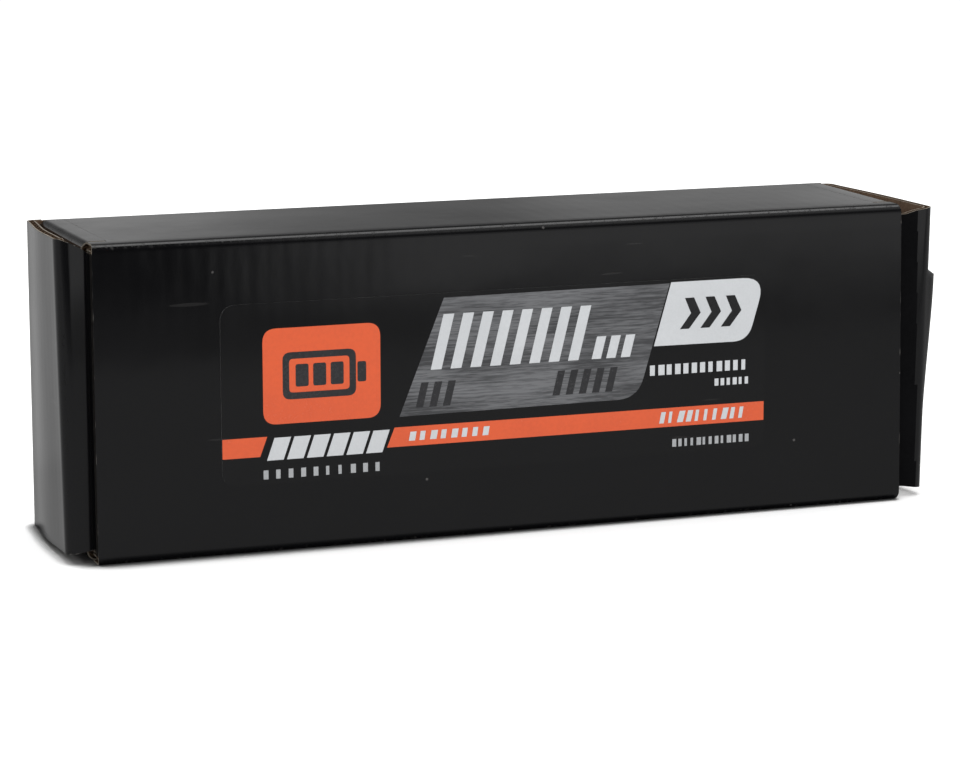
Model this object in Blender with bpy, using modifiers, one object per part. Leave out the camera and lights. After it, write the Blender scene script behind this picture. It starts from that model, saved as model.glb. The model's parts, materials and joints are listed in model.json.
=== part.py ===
"""A hard-case lithium polymer battery pack inside its tuck-end retail carton.

The carton stands on its long narrow side. X runs along its length, with the two end closures at the
left (-X) and the right (+X). Y runs from the labelled front panel to the back, and Z is up. The origin
is the middle of the carton's base. Both closures are a few degrees ajar.
"""

from math import cos, pi, radians, sin

import bmesh
import bpy
from mathutils import Vector

MM = 0.001

# The carton's tube, outside sizes
LENGTH = 163 * MM
HEIGHT = 59 * MM
DEPTH = 40 * MM
BOARD = 1.5 * MM  # thickness of the corrugated board
GAP = 0.3 * MM  # clearance between pieces that touch

# The end closures. A crease turns about the board's inner face.
LEFT, RIGHT = -1, 1
DUST_CREASE_SET_BACK = 0.8 * MM  # from the front panel's raw edge to the dust flaps' creases
CLOSURE_CREASE_OUT = 1.4 * MM  # from the front panel's raw edge out to the end panel's crease
CLOSURE_REST = {LEFT: radians(4.5), RIGHT: radians(7.5)}
END_PANEL_MARGIN = 0.6 * MM  # how much the end panel is lower than the tube, top and bottom
TUCK_LENGTH = 11.5 * MM
TUCK_LEAN = radians(10)  # inward, so that the flap follows its arc past the front panel
TUCK_SIDE_MARGIN = 0.8 * MM
TUCK_TAPER = 3 * MM
TUCK_ROOT_GAP = 0.5 * MM
DUST_LENGTH = 25 * MM
DUST_SHARE = 0.5  # a dust flap turns by this share of its closure's turn
DUST_FRONT_SET_BACK = 4.8 * MM
DUST_BACK_SET_BACK = 0.8 * MM
DUST_RELIEF = 12.2 * MM  # how far the flap tapers away from the closure's crease
GLUE_FLAP = 12 * MM
GLUE_FLAP_SHORT = 3.5 * MM  # at each end

# The printed label on the front panel
LABEL_LEFT, LABEL_RIGHT = -58 * MM, 52 * MM
LABEL_LOW, LABEL_HIGH = 13 * MM, 46.8 * MM
LABEL_CORNER = 3 * MM
LABEL_THICK = 0.3 * MM

# The pack: a 138 x 46.5 x 24.5 mm stick pack, standing on its long edge
PACK_LENGTH = 138 * MM
PACK_HEIGHT = 46.5 * MM
PACK_DEPTH = 24.5 * MM
PACK_LEFT = -71 * MM
PACK_FRONT = -13.6 * MM
PACK_BASE = BOARD + GAP
CASE_WALL = 1.6 * MM
CASE_ROUND = 2.5 * MM
LID_DEPTH = 4 * MM
PACK_LABEL_MARGIN = 10 * MM

# Inside the case
CELL_LENGTH = 120 * MM
CELL_HEIGHT = 42.4 * MM
CELL_THICK = 8.9 * MM
CELL_ROUND = 1.6 * MM
FOAM_THICK = 0.6 * MM
DIVIDER_THICK = 0.5 * MM
TAB_LENGTH = 5 * MM
TAB_WIDTH = 9 * MM
TAB_THICK = 0.4 * MM
TAB_SPREAD = 9.5 * MM  # from the cell's middle height to a tab's middle
BRIDGE_THICK = 0.8 * MM
CIRCUIT_THICK = 1.2 * MM
CIRCUIT_DEPTH = 19 * MM
CIRCUIT_HEIGHT = 40 * MM
CHIP_THICK = 1.1 * MM
CHIPS = {  # middle across the board and above the base, then size across and upwards
    "controller_chip": (-6.5 * MM, 14 * MM, 5 * MM, 5 * MM),
    "sense_resistor": (-6.5 * MM, 24 * MM, 3 * MM, 6.3 * MM),
}

# The leads, folded back along the pack
LEAD_RADIUS = 1.7 * MM
LEAD_HEIGHTS = {"positive": 36 * MM, "negative": 29 * MM}
LEAD_BEND = 7 * MM
LEAD_TURN_OUT = 3.5 * MM  # from the case's end to where the leads begin to turn
LEAD_RUN_Y = 14.7 * MM
BALANCE_HEIGHT = 22.4 * MM
BALANCE_WIDTH, BALANCE_THICK = 4.8 * MM, 1.6 * MM
BALANCE_ROUND = 0.7 * MM
BALANCE_END_X = 32 * MM
SLEEVE_LENGTH = 9 * MM
SLEEVE_WALL = 0.4 * MM
CONNECTOR_LENGTH, CONNECTOR_DEPTH = 20 * MM, 6.4 * MM
CONNECTOR_HEIGHT = 15 * MM
CONNECTOR_RIGHT = 10 * MM
CONNECTOR_ROUND = 1 * MM
CONTACT_RADIUS = 1.9 * MM
CONTACT_LENGTH = 15 * MM
CONTACT_TIP_RADIUS, CONTACT_TIP_LENGTH = 1.3 * MM, 1 * MM
BALANCE_PLUG = Vector((9.5, 5.6, 7.6)) * MM
PLUG_ROUND = 0.4 * MM
PLUG_CAVITY = Vector((5, 3, 1.6)) * MM
PLUG_PITCH = 2.3 * MM
GROMMET_FLANGE = 1.6 * MM
GROMMET_LIP = 1.2 * MM
GROMMET_MARGIN_Y, GROMMET_MARGIN_Z = 1.2 * MM, 1.5 * MM  # around the leads, each side

# Helper lengths
THROUGH = 2 * MM  # how far a cutter stands out of what it passes through
OVERLAP = 0.01 * MM  # how far two solids that are joined reach into each other

# Places that follow from the sizes above
FRONT, BACK = -DEPTH / 2, DEPTH / 2
INNER_FRONT, INNER_BACK = FRONT + BOARD, BACK - BOARD
DUST_CREASE_X = LENGTH / 2 - DUST_CREASE_SET_BACK
CLOSURE_CREASE_X = LENGTH / 2 + CLOSURE_CREASE_OUT
END_PANEL_REACH = INNER_BACK - (INNER_FRONT + GAP)
PACK_RIGHT = PACK_LEFT + PACK_LENGTH
PACK_BACK = PACK_FRONT + PACK_DEPTH
PACK_TOP = PACK_BASE + PACK_HEIGHT
PACK_MID_Z = (PACK_BASE + PACK_TOP) / 2
CELL_LEFT = PACK_LEFT + CASE_WALL + 2 * GAP
CELL_RIGHT = CELL_LEFT + CELL_LENGTH
BRIDGE_X = CELL_RIGHT + TAB_LENGTH + 2 * GAP
CIRCUIT_X = BRIDGE_X + BRIDGE_THICK + GAP
LEAD_START_X = CIRCUIT_X + CIRCUIT_THICK + GAP
LEAD_EXIT_Y = LEAD_RUN_Y - 2 * LEAD_BEND
LEAD_TURN_X = PACK_RIGHT + LEAD_TURN_OUT

COLOURS = {  # base colour, roughness, metallic
    "coated_board": ((0.018, 0.018, 0.020), 0.28, 0.0),
    "end_board": ((0.022, 0.022, 0.024), 0.28, 0.0),
    "kraft_board": ((0.23, 0.14, 0.085), 0.85, 0.0),
    "label_film": ((0.80, 0.135, 0.045), 0.22, 0.0),
    "case_plastic": ((0.03, 0.03, 0.033), 0.45, 0.0),
    "pack_film": ((0.09, 0.09, 0.10), 0.30, 0.0),
    "cell_foil": ((0.62, 0.63, 0.65), 0.35, 0.9),
    "foam": ((0.06, 0.06, 0.065), 0.95, 0.0),
    "insulation": ((0.55, 0.27, 0.05), 0.40, 0.0),
    "aluminium_tab": ((0.78, 0.79, 0.80), 0.35, 1.0),
    "nickel_tab": ((0.55, 0.53, 0.49), 0.32, 1.0),
    "copper": ((0.72, 0.38, 0.25), 0.30, 1.0),
    "circuit_laminate": ((0.02, 0.12, 0.05), 0.40, 0.0),
    "chip_epoxy": ((0.02, 0.02, 0.02), 0.55, 0.0),
    "grommet_rubber": ((0.025, 0.025, 0.025), 0.75, 0.0),
    "red_silicone": ((0.50, 0.02, 0.02), 0.55, 0.0),
    "black_silicone": ((0.02, 0.02, 0.02), 0.55, 0.0),
    "white_plastic": ((0.75, 0.74, 0.70), 0.40, 0.0),
    "connector_nylon": ((0.05, 0.10, 0.30), 0.45, 0.0),
    "gold": ((0.85, 0.62, 0.25), 0.22, 1.0),
}


def clear_scene():
    for scene_object in list(bpy.data.objects):
        bpy.data.objects.remove(scene_object)


def new_collection(name):
    collection = bpy.data.collections.new(name)
    bpy.context.scene.collection.children.link(collection)
    return collection


def material_for(name, finish):
    """A material of the piece's own, in one of the named finishes."""
    colour, roughness, metallic = COLOURS[finish]
    material = bpy.data.materials.new(name)
    material.use_nodes = True
    shader = material.node_tree.nodes["Principled BSDF"]
    shader.inputs["Base Color"].default_value = (*colour, 1)
    shader.inputs["Roughness"].default_value = roughness
    shader.inputs["Metallic"].default_value = metallic
    material.diffuse_color = (*colour, 1)
    return material


def add_object(name, data, finish, parent=None, location=(0, 0, 0), rotation=(0, 0, 0)):
    """Links data to the model's collection as a named piece with its own material."""
    piece = bpy.data.objects.new(name, data)
    piece.location = location
    piece.rotation_euler = rotation
    piece.parent = parent
    data.materials.append(material_for(name, finish))
    PARTS.objects.link(piece)
    return piece


def add_axis(name, location, parent=None, rotation=(0, 0, 0)):
    """An empty on a joint's axis, which the pieces that turn are parented to."""
    axis = bpy.data.objects.new(name, None)
    axis.location = location
    axis.rotation_euler = rotation
    axis.parent = parent
    PARTS.objects.link(axis)
    return axis


def cuboid_mesh(name, size):
    mesh = bpy.data.meshes.new(name)
    shape = bmesh.new()
    bmesh.ops.create_cube(shape, size=1)
    bmesh.ops.scale(shape, vec=size, verts=shape.verts)
    shape.to_mesh(mesh)
    shape.free()
    return mesh


def add_box(name, low, high, finish, parent=None, rounding=0.0, segments=2):
    """A box between two corners, its edges rounded where rounding is given."""
    low, high = Vector(low), Vector(high)
    box = add_object(name, cuboid_mesh(name, high - low), finish, parent, (low + high) / 2)
    if rounding:
        add_bevel(box, rounding, segments)
    return box


def add_bevel(piece, width, segments):
    bevel = piece.modifiers.new("rounded_edges", "BEVEL")
    bevel.width = width
    bevel.segments = segments
    bevel.limit_method = "ANGLE"


def flat_outline(name, points, thickness):
    """A closed flat outline in its own XY plane, thickness deep about that plane."""
    curve = bpy.data.curves.new(name, "CURVE")
    curve.dimensions = "2D"
    curve.fill_mode = "BOTH"
    curve.extrude = thickness / 2
    outline = curve.splines.new("POLY")
    outline.points.add(len(points) - 1)
    for point, (x, y) in zip(outline.points, points):
        point.co = (x, y, 0, 1)
    outline.use_cyclic_u = True
    return curve


def rounded_rectangle(width, height, radius, steps=4):
    """Points of a rectangle about the origin whose corners are arcs."""
    points = []
    for quarter, (side_x, side_y) in enumerate(((1, 1), (-1, 1), (-1, -1), (1, -1))):
        centre = Vector((side_x * (width / 2 - radius), side_y * (height / 2 - radius)))
        for step in range(steps + 1):
            angle = (quarter + step / steps) * pi / 2
            points.append(centre + radius * Vector((cos(angle), sin(angle))))
    return points


def turned(name, profile, finish, location, rotation):
    """A solid of revolution about its own Z. profile runs top to bottom, as (radius, height)."""
    mesh = bpy.data.meshes.new(name)
    shape = bmesh.new()
    line = [shape.verts.new((radius, 0, height)) for radius, height in profile]
    for first, second in zip(line, line[1:]):
        shape.edges.new((first, second))
    shape.to_mesh(mesh)
    shape.free()
    piece = add_object(name, mesh, finish, None, location, rotation)
    screw = piece.modifiers.new("turned", "SCREW")
    screw.axis = "Z"
    screw.steps = screw.render_steps = 24
    screw.use_merge_vertices = True
    screw.merge_threshold = 0.00001
    screw.use_smooth_shade = True
    return piece


def cutter(name, data, location, rotation=(0, 0, 0)):
    """A helper shape for a Boolean, kept out of the model."""
    tool = bpy.data.objects.new(name, data)
    tool.location = location
    tool.rotation_euler = rotation
    tool.hide_render = True
    tool.display_type = "WIRE"
    CUTTERS.objects.link(tool)
    return tool


def cylinder_mesh(name, radius, length, sides=16):
    """A closed cylinder along its own Z."""
    mesh = bpy.data.meshes.new(name)
    shape = bmesh.new()
    bmesh.ops.create_cone(
        shape, cap_ends=True, segments=sides, radius1=radius, radius2=radius, depth=length
    )
    shape.to_mesh(mesh)
    shape.free()
    return mesh


def cut(piece, tool, operation="DIFFERENCE"):
    boolean = piece.modifiers.new(tool.name, "BOOLEAN")
    boolean.operation = operation
    boolean.solver = "EXACT"
    boolean.object = tool


# ---------------------------------------------------------------- the carton's tube


def build_tube():
    """The four walls of the tube, the glue flap that closes it and the label on its front."""
    half = LENGTH / 2
    add_box(
        "front_panel", (-half, FRONT, 0), (half, INNER_FRONT, HEIGHT), "coated_board"
    )
    wall_front, wall_back = INNER_FRONT + GAP, INNER_BACK - GAP
    add_box(
        "bottom_panel",
        (-DUST_CREASE_X, wall_front, 0),
        (DUST_CREASE_X, wall_back, BOARD),
        "coated_board",
    )
    add_box(
        "top_panel",
        (-DUST_CREASE_X, wall_front, HEIGHT - BOARD),
        (DUST_CREASE_X, wall_back, HEIGHT),
        "coated_board",
    )
    # The back panel's ends are mitred outside, so that an end panel can fold past it.
    back_outline = [
        (-CLOSURE_CREASE_X, INNER_BACK),
        (CLOSURE_CREASE_X, INNER_BACK),
        (CLOSURE_CREASE_X - BOARD, BACK),
        (-CLOSURE_CREASE_X + BOARD, BACK),
    ]
    add_object(
        "back_panel",
        flat_outline("back_panel", back_outline, HEIGHT),
        "coated_board",
        location=(0, 0, HEIGHT / 2),
    )
    flap_end = DUST_CREASE_X - GLUE_FLAP_SHORT
    add_box(
        "glue_flap",
        (-flap_end, wall_back - BOARD, BOARD + GAP),
        (flap_end, wall_back, BOARD + GAP + GLUE_FLAP),
        "kraft_board",
    )
    width, height = LABEL_RIGHT - LABEL_LEFT, LABEL_HIGH - LABEL_LOW
    add_object(
        "product_label",
        flat_outline(
            "product_label", rounded_rectangle(width, height, LABEL_CORNER), LABEL_THICK
        ),
        "label_film",
        location=(
            (LABEL_LEFT + LABEL_RIGHT) / 2,
            FRONT - GAP - LABEL_THICK / 2,
            (LABEL_LOW + LABEL_HIGH) / 2,
        ),
        rotation=(pi / 2, 0, 0),
    )


# ---------------------------------------------------------------- the end closures


def build_closure(side, side_name):
    """An end panel with its tuck flap, hinged on the back panel's end."""
    axis = add_axis(
        f"{side_name}_closure_axis",
        (side * CLOSURE_CREASE_X, INNER_BACK, HEIGHT / 2),
        rotation=(0, 0, side * CLOSURE_REST[side]),
    )
    panel_outline = [  # in plan, from the crease towards the front, mitred at the crease
        (0, -GAP),
        (0, -END_PANEL_REACH),
        (side * BOARD, -END_PANEL_REACH),
        (side * BOARD, -GAP - BOARD),
    ]
    add_object(
        f"{side_name}_end_panel",
        flat_outline(
            f"{side_name}_end_panel", panel_outline, HEIGHT - 2 * END_PANEL_MARGIN
        ),
        "end_board",
        axis,
    )
    tuck_axis = add_axis(
        f"{side_name}_tuck_axis",
        (0, -END_PANEL_REACH + BOARD, 0),
        axis,
        (0, 0, -side * TUCK_LEAN),
    )
    root = HEIGHT / 2 - BOARD - TUCK_SIDE_MARGIN
    tip = root - TUCK_TAPER
    tuck_outline = [  # seen from the front, from the crease into the tube
        (-side * TUCK_ROOT_GAP, -root),
        (-side * TUCK_ROOT_GAP, root),
        (-side * (TUCK_LENGTH - TUCK_TAPER), root),
        (-side * TUCK_LENGTH, tip),
        (-side * TUCK_LENGTH, -tip),
        (-side * (TUCK_LENGTH - TUCK_TAPER), -root),
    ]
    add_object(
        f"{side_name}_tuck_flap",
        flat_outline(f"{side_name}_tuck_flap", tuck_outline, BOARD),
        "end_board",
        tuck_axis,
        (0, -BOARD / 2, 0),
        (pi / 2, 0, 0),
    )


def build_dust_flap(side, side_name, level_name):
    """A dust flap, hinged on the end of the top or the bottom panel."""
    is_top = level_name == "top"
    upward = -1 if is_top else 1  # which way the closed flap points
    axis = add_axis(
        f"{side_name}_{level_name}_dust_axis",
        (side * DUST_CREASE_X, 0, HEIGHT - BOARD if is_top else BOARD),
        rotation=(0, upward * side * CLOSURE_REST[side] * DUST_SHARE, 0),
    )
    front_edge = FRONT + DUST_FRONT_SET_BACK
    back_edge = INNER_BACK - DUST_BACK_SET_BACK
    outline = [  # in the closed flap's plane: across the carton, then away from the crease
        (front_edge, upward * GAP),
        (back_edge, upward * GAP),
        (back_edge - DUST_RELIEF, upward * DUST_LENGTH),
        (front_edge + BOARD, upward * DUST_LENGTH),
        (front_edge, upward * (DUST_LENGTH - BOARD)),
    ]
    add_object(
        f"{side_name}_{level_name}_dust_flap",
        flat_outline(f"{side_name}_{level_name}_dust_flap", outline, BOARD),
        "end_board",
        axis,
        (side * BOARD / 2, 0, 0),
        (pi / 2, 0, pi / 2),
    )


# ---------------------------------------------------------------- the pack's case


def open_shell(name, low, high, open_side, finish):
    """A rounded box shell that is open on one side along Y: -1 the front, 1 the back."""
    low, high = Vector(low), Vector(high)
    mesh = cuboid_mesh(name, high - low)
    shape = bmesh.new()
    shape.from_mesh(mesh)
    shape.faces.ensure_lookup_table()
    lid_faces = [face for face in shape.faces if face.normal.y * open_side > 0.5]
    bmesh.ops.delete(shape, geom=lid_faces, context="FACES_ONLY")
    shape.to_mesh(mesh)
    shape.free()
    shell = add_object(name, mesh, finish, None, (low + high) / 2)
    add_bevel(shell, CASE_ROUND, 3)
    wall = shell.modifiers.new("wall", "SOLIDIFY")
    wall.thickness = CASE_WALL
    wall.offset = -1
    wall.use_even_offset = True
    return shell


def build_case():
    """The hard case in two shells, its label, and the grommet in its right end."""
    part_line = PACK_FRONT + LID_DEPTH
    open_shell(
        "case_lid",
        (PACK_LEFT, PACK_FRONT, PACK_BASE),
        (PACK_RIGHT, part_line - GAP, PACK_TOP),
        1,
        "case_plastic",
    )
    tray = open_shell(
        "case_tray",
        (PACK_LEFT, part_line, PACK_BASE),
        (PACK_RIGHT, PACK_BACK, PACK_TOP),
        -1,
        "case_plastic",
    )
    spread = LEAD_HEIGHTS["positive"] - BALANCE_HEIGHT
    neck_depth = 2 * (LEAD_RADIUS + GROMMET_MARGIN_Y)
    neck_height = spread + 2 * (LEAD_RADIUS + GROMMET_MARGIN_Z)
    neck = Vector((CASE_WALL + 2 * GAP, neck_depth, neck_height))
    middle_z = (LEAD_HEIGHTS["positive"] + BALANCE_HEIGHT) / 2
    hole = neck + Vector((2 * THROUGH, 2 * GAP, 2 * GAP))
    wall_x = PACK_RIGHT - CASE_WALL / 2
    cut(
        tray,
        cutter("lead_hole", cuboid_mesh("lead_hole", hole), (wall_x, LEAD_EXIT_Y, middle_z)),
    )

    grommet = add_object(
        "lead_grommet",
        cuboid_mesh("lead_grommet", neck),
        "grommet_rubber",
        location=(wall_x, LEAD_EXIT_Y, middle_z),
    )
    lip = Vector((0, 2 * GROMMET_LIP, 2 * GROMMET_LIP))
    flange_size = neck + lip
    flange_size.x = GROMMET_FLANGE
    flange = cutter(
        "grommet_flange",
        cuboid_mesh("grommet_flange", flange_size),
        (PACK_RIGHT + GAP + GROMMET_FLANGE / 2 - OVERLAP, LEAD_EXIT_Y, middle_z),
    )
    cut(grommet, flange, "UNION")
    bore_length = neck.x + GROMMET_FLANGE + 4 * THROUGH
    for polarity, height in LEAD_HEIGHTS.items():
        bore = cylinder_mesh(f"{polarity}_bore", LEAD_RADIUS + GAP, bore_length)
        turned_bore = cutter(
            f"{polarity}_bore", bore, (PACK_RIGHT, LEAD_EXIT_Y, height), (0, pi / 2, 0)
        )
        cut(grommet, turned_bore)
    slot_size = (bore_length, BALANCE_THICK + 2 * GAP, BALANCE_WIDTH + 2 * GAP)
    cut(
        grommet,
        cutter(
            "balance_slot",
            cuboid_mesh("balance_slot", slot_size),
            (PACK_RIGHT, LEAD_EXIT_Y, BALANCE_HEIGHT),
        ),
    )
    label_size = (
        PACK_LENGTH - 2 * PACK_LABEL_MARGIN,
        PACK_HEIGHT - PACK_LABEL_MARGIN,
        LABEL_CORNER,
    )
    add_object(
        "pack_label",
        flat_outline("pack_label", rounded_rectangle(*label_size), LABEL_THICK),
        "pack_film",
        location=(
            (PACK_LEFT + PACK_RIGHT) / 2,
            PACK_FRONT - GAP - LABEL_THICK / 2,
            PACK_MID_Z,
        ),
        rotation=(pi / 2, 0, 0),
    )


# ---------------------------------------------------------------- inside the case


def build_cells():
    """Two pouch cells with foam at their faces, and a divider between them."""
    low_z, high_z = PACK_MID_Z - CELL_HEIGHT / 2, PACK_MID_Z + CELL_HEIGHT / 2
    layers = (
        ("front_foam_pad", FOAM_THICK, "foam", 0),
        ("front_cell", CELL_THICK, "cell_foil", CELL_ROUND),
        ("cell_divider", DIVIDER_THICK, "insulation", 0),
        ("back_cell", CELL_THICK, "cell_foil", CELL_ROUND),
        ("back_foam_pad", FOAM_THICK, "foam", 0),
    )
    y = PACK_FRONT + CASE_WALL + GAP
    middles = {}
    for name, thickness, finish, rounding in layers:
        add_box(
            name,
            (CELL_LEFT, y, low_z),
            (CELL_RIGHT, y + thickness, high_z),
            finish,
            rounding=rounding,
        )
        middles[name] = y + thickness / 2
        y += thickness + GAP
    return middles["front_cell"], middles["back_cell"]


def build_tabs(front_y, back_y):
    """Each cell's two tabs, and the bridge that joins the two lower ones in series."""
    tabs = (
        ("front_cell_positive_tab", front_y, 1, "aluminium_tab"),
        ("front_cell_negative_tab", front_y, -1, "nickel_tab"),
        ("back_cell_positive_tab", back_y, -1, "aluminium_tab"),
        ("back_cell_negative_tab", back_y, 1, "nickel_tab"),
    )
    for name, y, level, finish in tabs:
        z = PACK_MID_Z + level * TAB_SPREAD
        add_box(
            name,
            (CELL_RIGHT + GAP, y - TAB_THICK / 2, z - TAB_WIDTH / 2),
            (CELL_RIGHT + GAP + TAB_LENGTH, y + TAB_THICK / 2, z + TAB_WIDTH / 2),
            finish,
        )
    z = PACK_MID_Z - TAB_SPREAD
    add_box(
        "series_bridge",
        (BRIDGE_X, front_y - TAB_THICK, z - TAB_WIDTH / 2),
        (BRIDGE_X + BRIDGE_THICK, back_y + TAB_THICK, z + TAB_WIDTH / 2),
        "copper",
    )


def build_circuit():
    """The balance and monitoring board, with its controller and its sense resistor."""
    middle_y = (PACK_FRONT + PACK_BACK) / 2
    back_x = CIRCUIT_X + CIRCUIT_THICK
    add_box(
        "circuit_board",
        (CIRCUIT_X, middle_y - CIRCUIT_DEPTH / 2, PACK_MID_Z - CIRCUIT_HEIGHT / 2),
        (back_x, middle_y + CIRCUIT_DEPTH / 2, PACK_MID_Z + CIRCUIT_HEIGHT / 2),
        "circuit_laminate",
    )
    for name, (y, z, depth, height) in CHIPS.items():
        add_box(
            name,
            (back_x + GAP, y - depth / 2, z - height / 2),
            (back_x + GAP + CHIP_THICK, y + depth / 2, z + height / 2),
            "chip_epoxy",
        )


# ---------------------------------------------------------------- the leads


def smooth_route(points, per_span=6):
    """A Catmull-Rom curve through the points, which starts and ends along its first and last spans."""
    ends = [2 * points[0] - points[1], *points, 2 * points[-1] - points[-2]]
    route = []
    for a, b, c, d in zip(ends, ends[1:], ends[2:], ends[3:]):
        for step in range(per_span):
            t = step / per_span
            route.append(
                0.5
                * (
                    2 * b
                    + (c - a) * t
                    + (2 * a - 5 * b + 4 * c - d) * t**2
                    + (3 * b - a - 3 * c + d) * t**3
                )
            )
    return [*route, points[-1]]


def lead_route(height, end_x):
    """Out of the grommet, once round, and back along the pack to end_x."""
    turn = [
        Vector(
            (
                LEAD_TURN_X + LEAD_BEND * sin(angle),
                LEAD_RUN_Y - LEAD_BEND - LEAD_BEND * cos(angle),
                height,
            )
        )
        for angle in (0, pi / 4, pi / 2, 3 * pi / 4, pi)
    ]
    start = Vector((LEAD_START_X, LEAD_EXIT_Y, height))
    run = [
        Vector((LEAD_TURN_X + (end_x - LEAD_TURN_X) * share, LEAD_RUN_Y, height))
        for share in (0.35, 0.7, 1)
    ]
    return smooth_route([start, *turn, *run])


def add_cable(name, route, finish, radius=0.0, profile=None):
    """A cable along the route, round by its radius or with the flat profile's section."""
    curve = bpy.data.curves.new(name, "CURVE")
    curve.dimensions = "3D"
    curve.use_fill_caps = True
    if profile:
        curve.bevel_mode = "OBJECT"
        curve.bevel_object = profile
    else:
        curve.bevel_depth = radius
        curve.bevel_resolution = 2
    line = curve.splines.new("POLY")
    line.points.add(len(route) - 1)
    for point, place in zip(line.points, route):
        point.co = (*place, 1)
    return add_object(name, curve, finish)


def build_leads():
    """The two power leads with their sleeves, and the flat balance lead."""
    end_x = CONNECTOR_RIGHT + GAP
    finishes = {"positive": "red_silicone", "negative": "black_silicone"}
    inner = LEAD_RADIUS + GAP
    outer = inner + SLEEVE_WALL
    sleeve_profile = [
        (inner, SLEEVE_LENGTH / 2),
        (outer, SLEEVE_LENGTH / 2),
        (outer, -SLEEVE_LENGTH / 2),
        (inner, -SLEEVE_LENGTH / 2),
        (inner, SLEEVE_LENGTH / 2),
    ]
    for polarity, height in LEAD_HEIGHTS.items():
        add_cable(
            f"{polarity}_lead", lead_route(height, end_x), finishes[polarity], LEAD_RADIUS
        )
        sleeve_x = end_x + SLEEVE_LENGTH / 2 + GAP
        turned(
            f"{polarity}_sleeve",
            sleeve_profile,
            finishes[polarity],
            (sleeve_x, LEAD_RUN_Y, height),
            (0, pi / 2, 0),
        )
    # A section that runs clockwise turns the swept faces outwards.
    corners = rounded_rectangle(BALANCE_THICK, BALANCE_WIDTH, BALANCE_ROUND, 3)[::-1]
    ribbon = flat_outline("ribbon_section", corners, 0)
    ribbon.fill_mode = "NONE"
    section = cutter("ribbon_section", ribbon, (0, 0, 0))
    add_cable(
        "balance_lead",
        lead_route(BALANCE_HEIGHT, BALANCE_END_X),
        "white_plastic",
        profile=section,
    )


def build_connectors():
    """The main connector with its two contacts, and the balance plug."""
    centre = Vector(
        (
            CONNECTOR_RIGHT - CONNECTOR_LENGTH / 2,
            LEAD_RUN_Y,
            (LEAD_HEIGHTS["positive"] + LEAD_HEIGHTS["negative"]) / 2,
        )
    )
    size = Vector((CONNECTOR_LENGTH, CONNECTOR_DEPTH, CONNECTOR_HEIGHT))
    shell = add_object(
        "connector_shell", cuboid_mesh("connector_shell", size), "connector_nylon"
    )
    shell.location = centre
    add_bevel(shell, CONNECTOR_ROUND, 2)
    for polarity, height in LEAD_HEIGHTS.items():
        bore_radius = CONTACT_RADIUS + GAP
        bore_length = CONNECTOR_LENGTH + 2 * THROUGH
        bore = cylinder_mesh(f"{polarity}_contact_bore", bore_radius, bore_length)
        place = Vector((centre.x, LEAD_RUN_Y, height))
        cut(shell, cutter(f"{polarity}_contact_bore", bore, place, (0, pi / 2, 0)))
        contact = [
            (0, CONTACT_LENGTH / 2),
            (CONTACT_TIP_RADIUS, CONTACT_LENGTH / 2),
            (CONTACT_RADIUS, CONTACT_LENGTH / 2 - CONTACT_TIP_LENGTH),
            (CONTACT_RADIUS, -CONTACT_LENGTH / 2),
            (0, -CONTACT_LENGTH / 2),
        ]
        place.x = CONNECTOR_RIGHT - CONTACT_LENGTH / 2 - GAP
        turned(f"{polarity}_contact", contact, "gold", place, (0, -pi / 2, 0))
    plug_right = BALANCE_END_X - GAP
    half = BALANCE_PLUG / 2
    plug_centre = Vector((plug_right - half.x, LEAD_RUN_Y, BALANCE_HEIGHT))
    plug = add_box(
        "balance_plug",
        plug_centre - half,
        plug_centre + half,
        "white_plastic",
        rounding=PLUG_ROUND,
        segments=1,
    )
    for cavity in (-1, 0, 1):
        hole = cuboid_mesh("plug_cavity", PLUG_CAVITY)
        height = BALANCE_HEIGHT + cavity * PLUG_PITCH
        place = (plug_right - BALANCE_PLUG.x, LEAD_RUN_Y, height)
        cut(plug, cutter(f"plug_cavity_{cavity + 1}", hole, place))


def main():
    build_tube()
    for side, side_name in ((LEFT, "left"), (RIGHT, "right")):
        build_closure(side, side_name)
        for level_name in ("top", "bottom"):
            build_dust_flap(side, side_name, level_name)
    build_case()
    front_y, back_y = build_cells()
    build_tabs(front_y, back_y)
    build_circuit()
    build_leads()
    build_connectors()


clear_scene()
PARTS = new_collection("battery_pack_in_carton")
CUTTERS = new_collection("cutters")
main()
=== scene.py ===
"""The looks of a battery pack in its tuck-end carton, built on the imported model's frame.

X runs along the carton, Y from the labelled front panel to the back, and Z is up. Sizes are in metres.
"""

import sys

import json
import logging
from collections.abc import Callable, Sequence
from dataclasses import dataclass, field
from enum import Enum
from math import atan2, cos, pi, radians, sin, tan

import bmesh
import bpy
import numpy as np
from mathutils import Matrix, Vector


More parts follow.
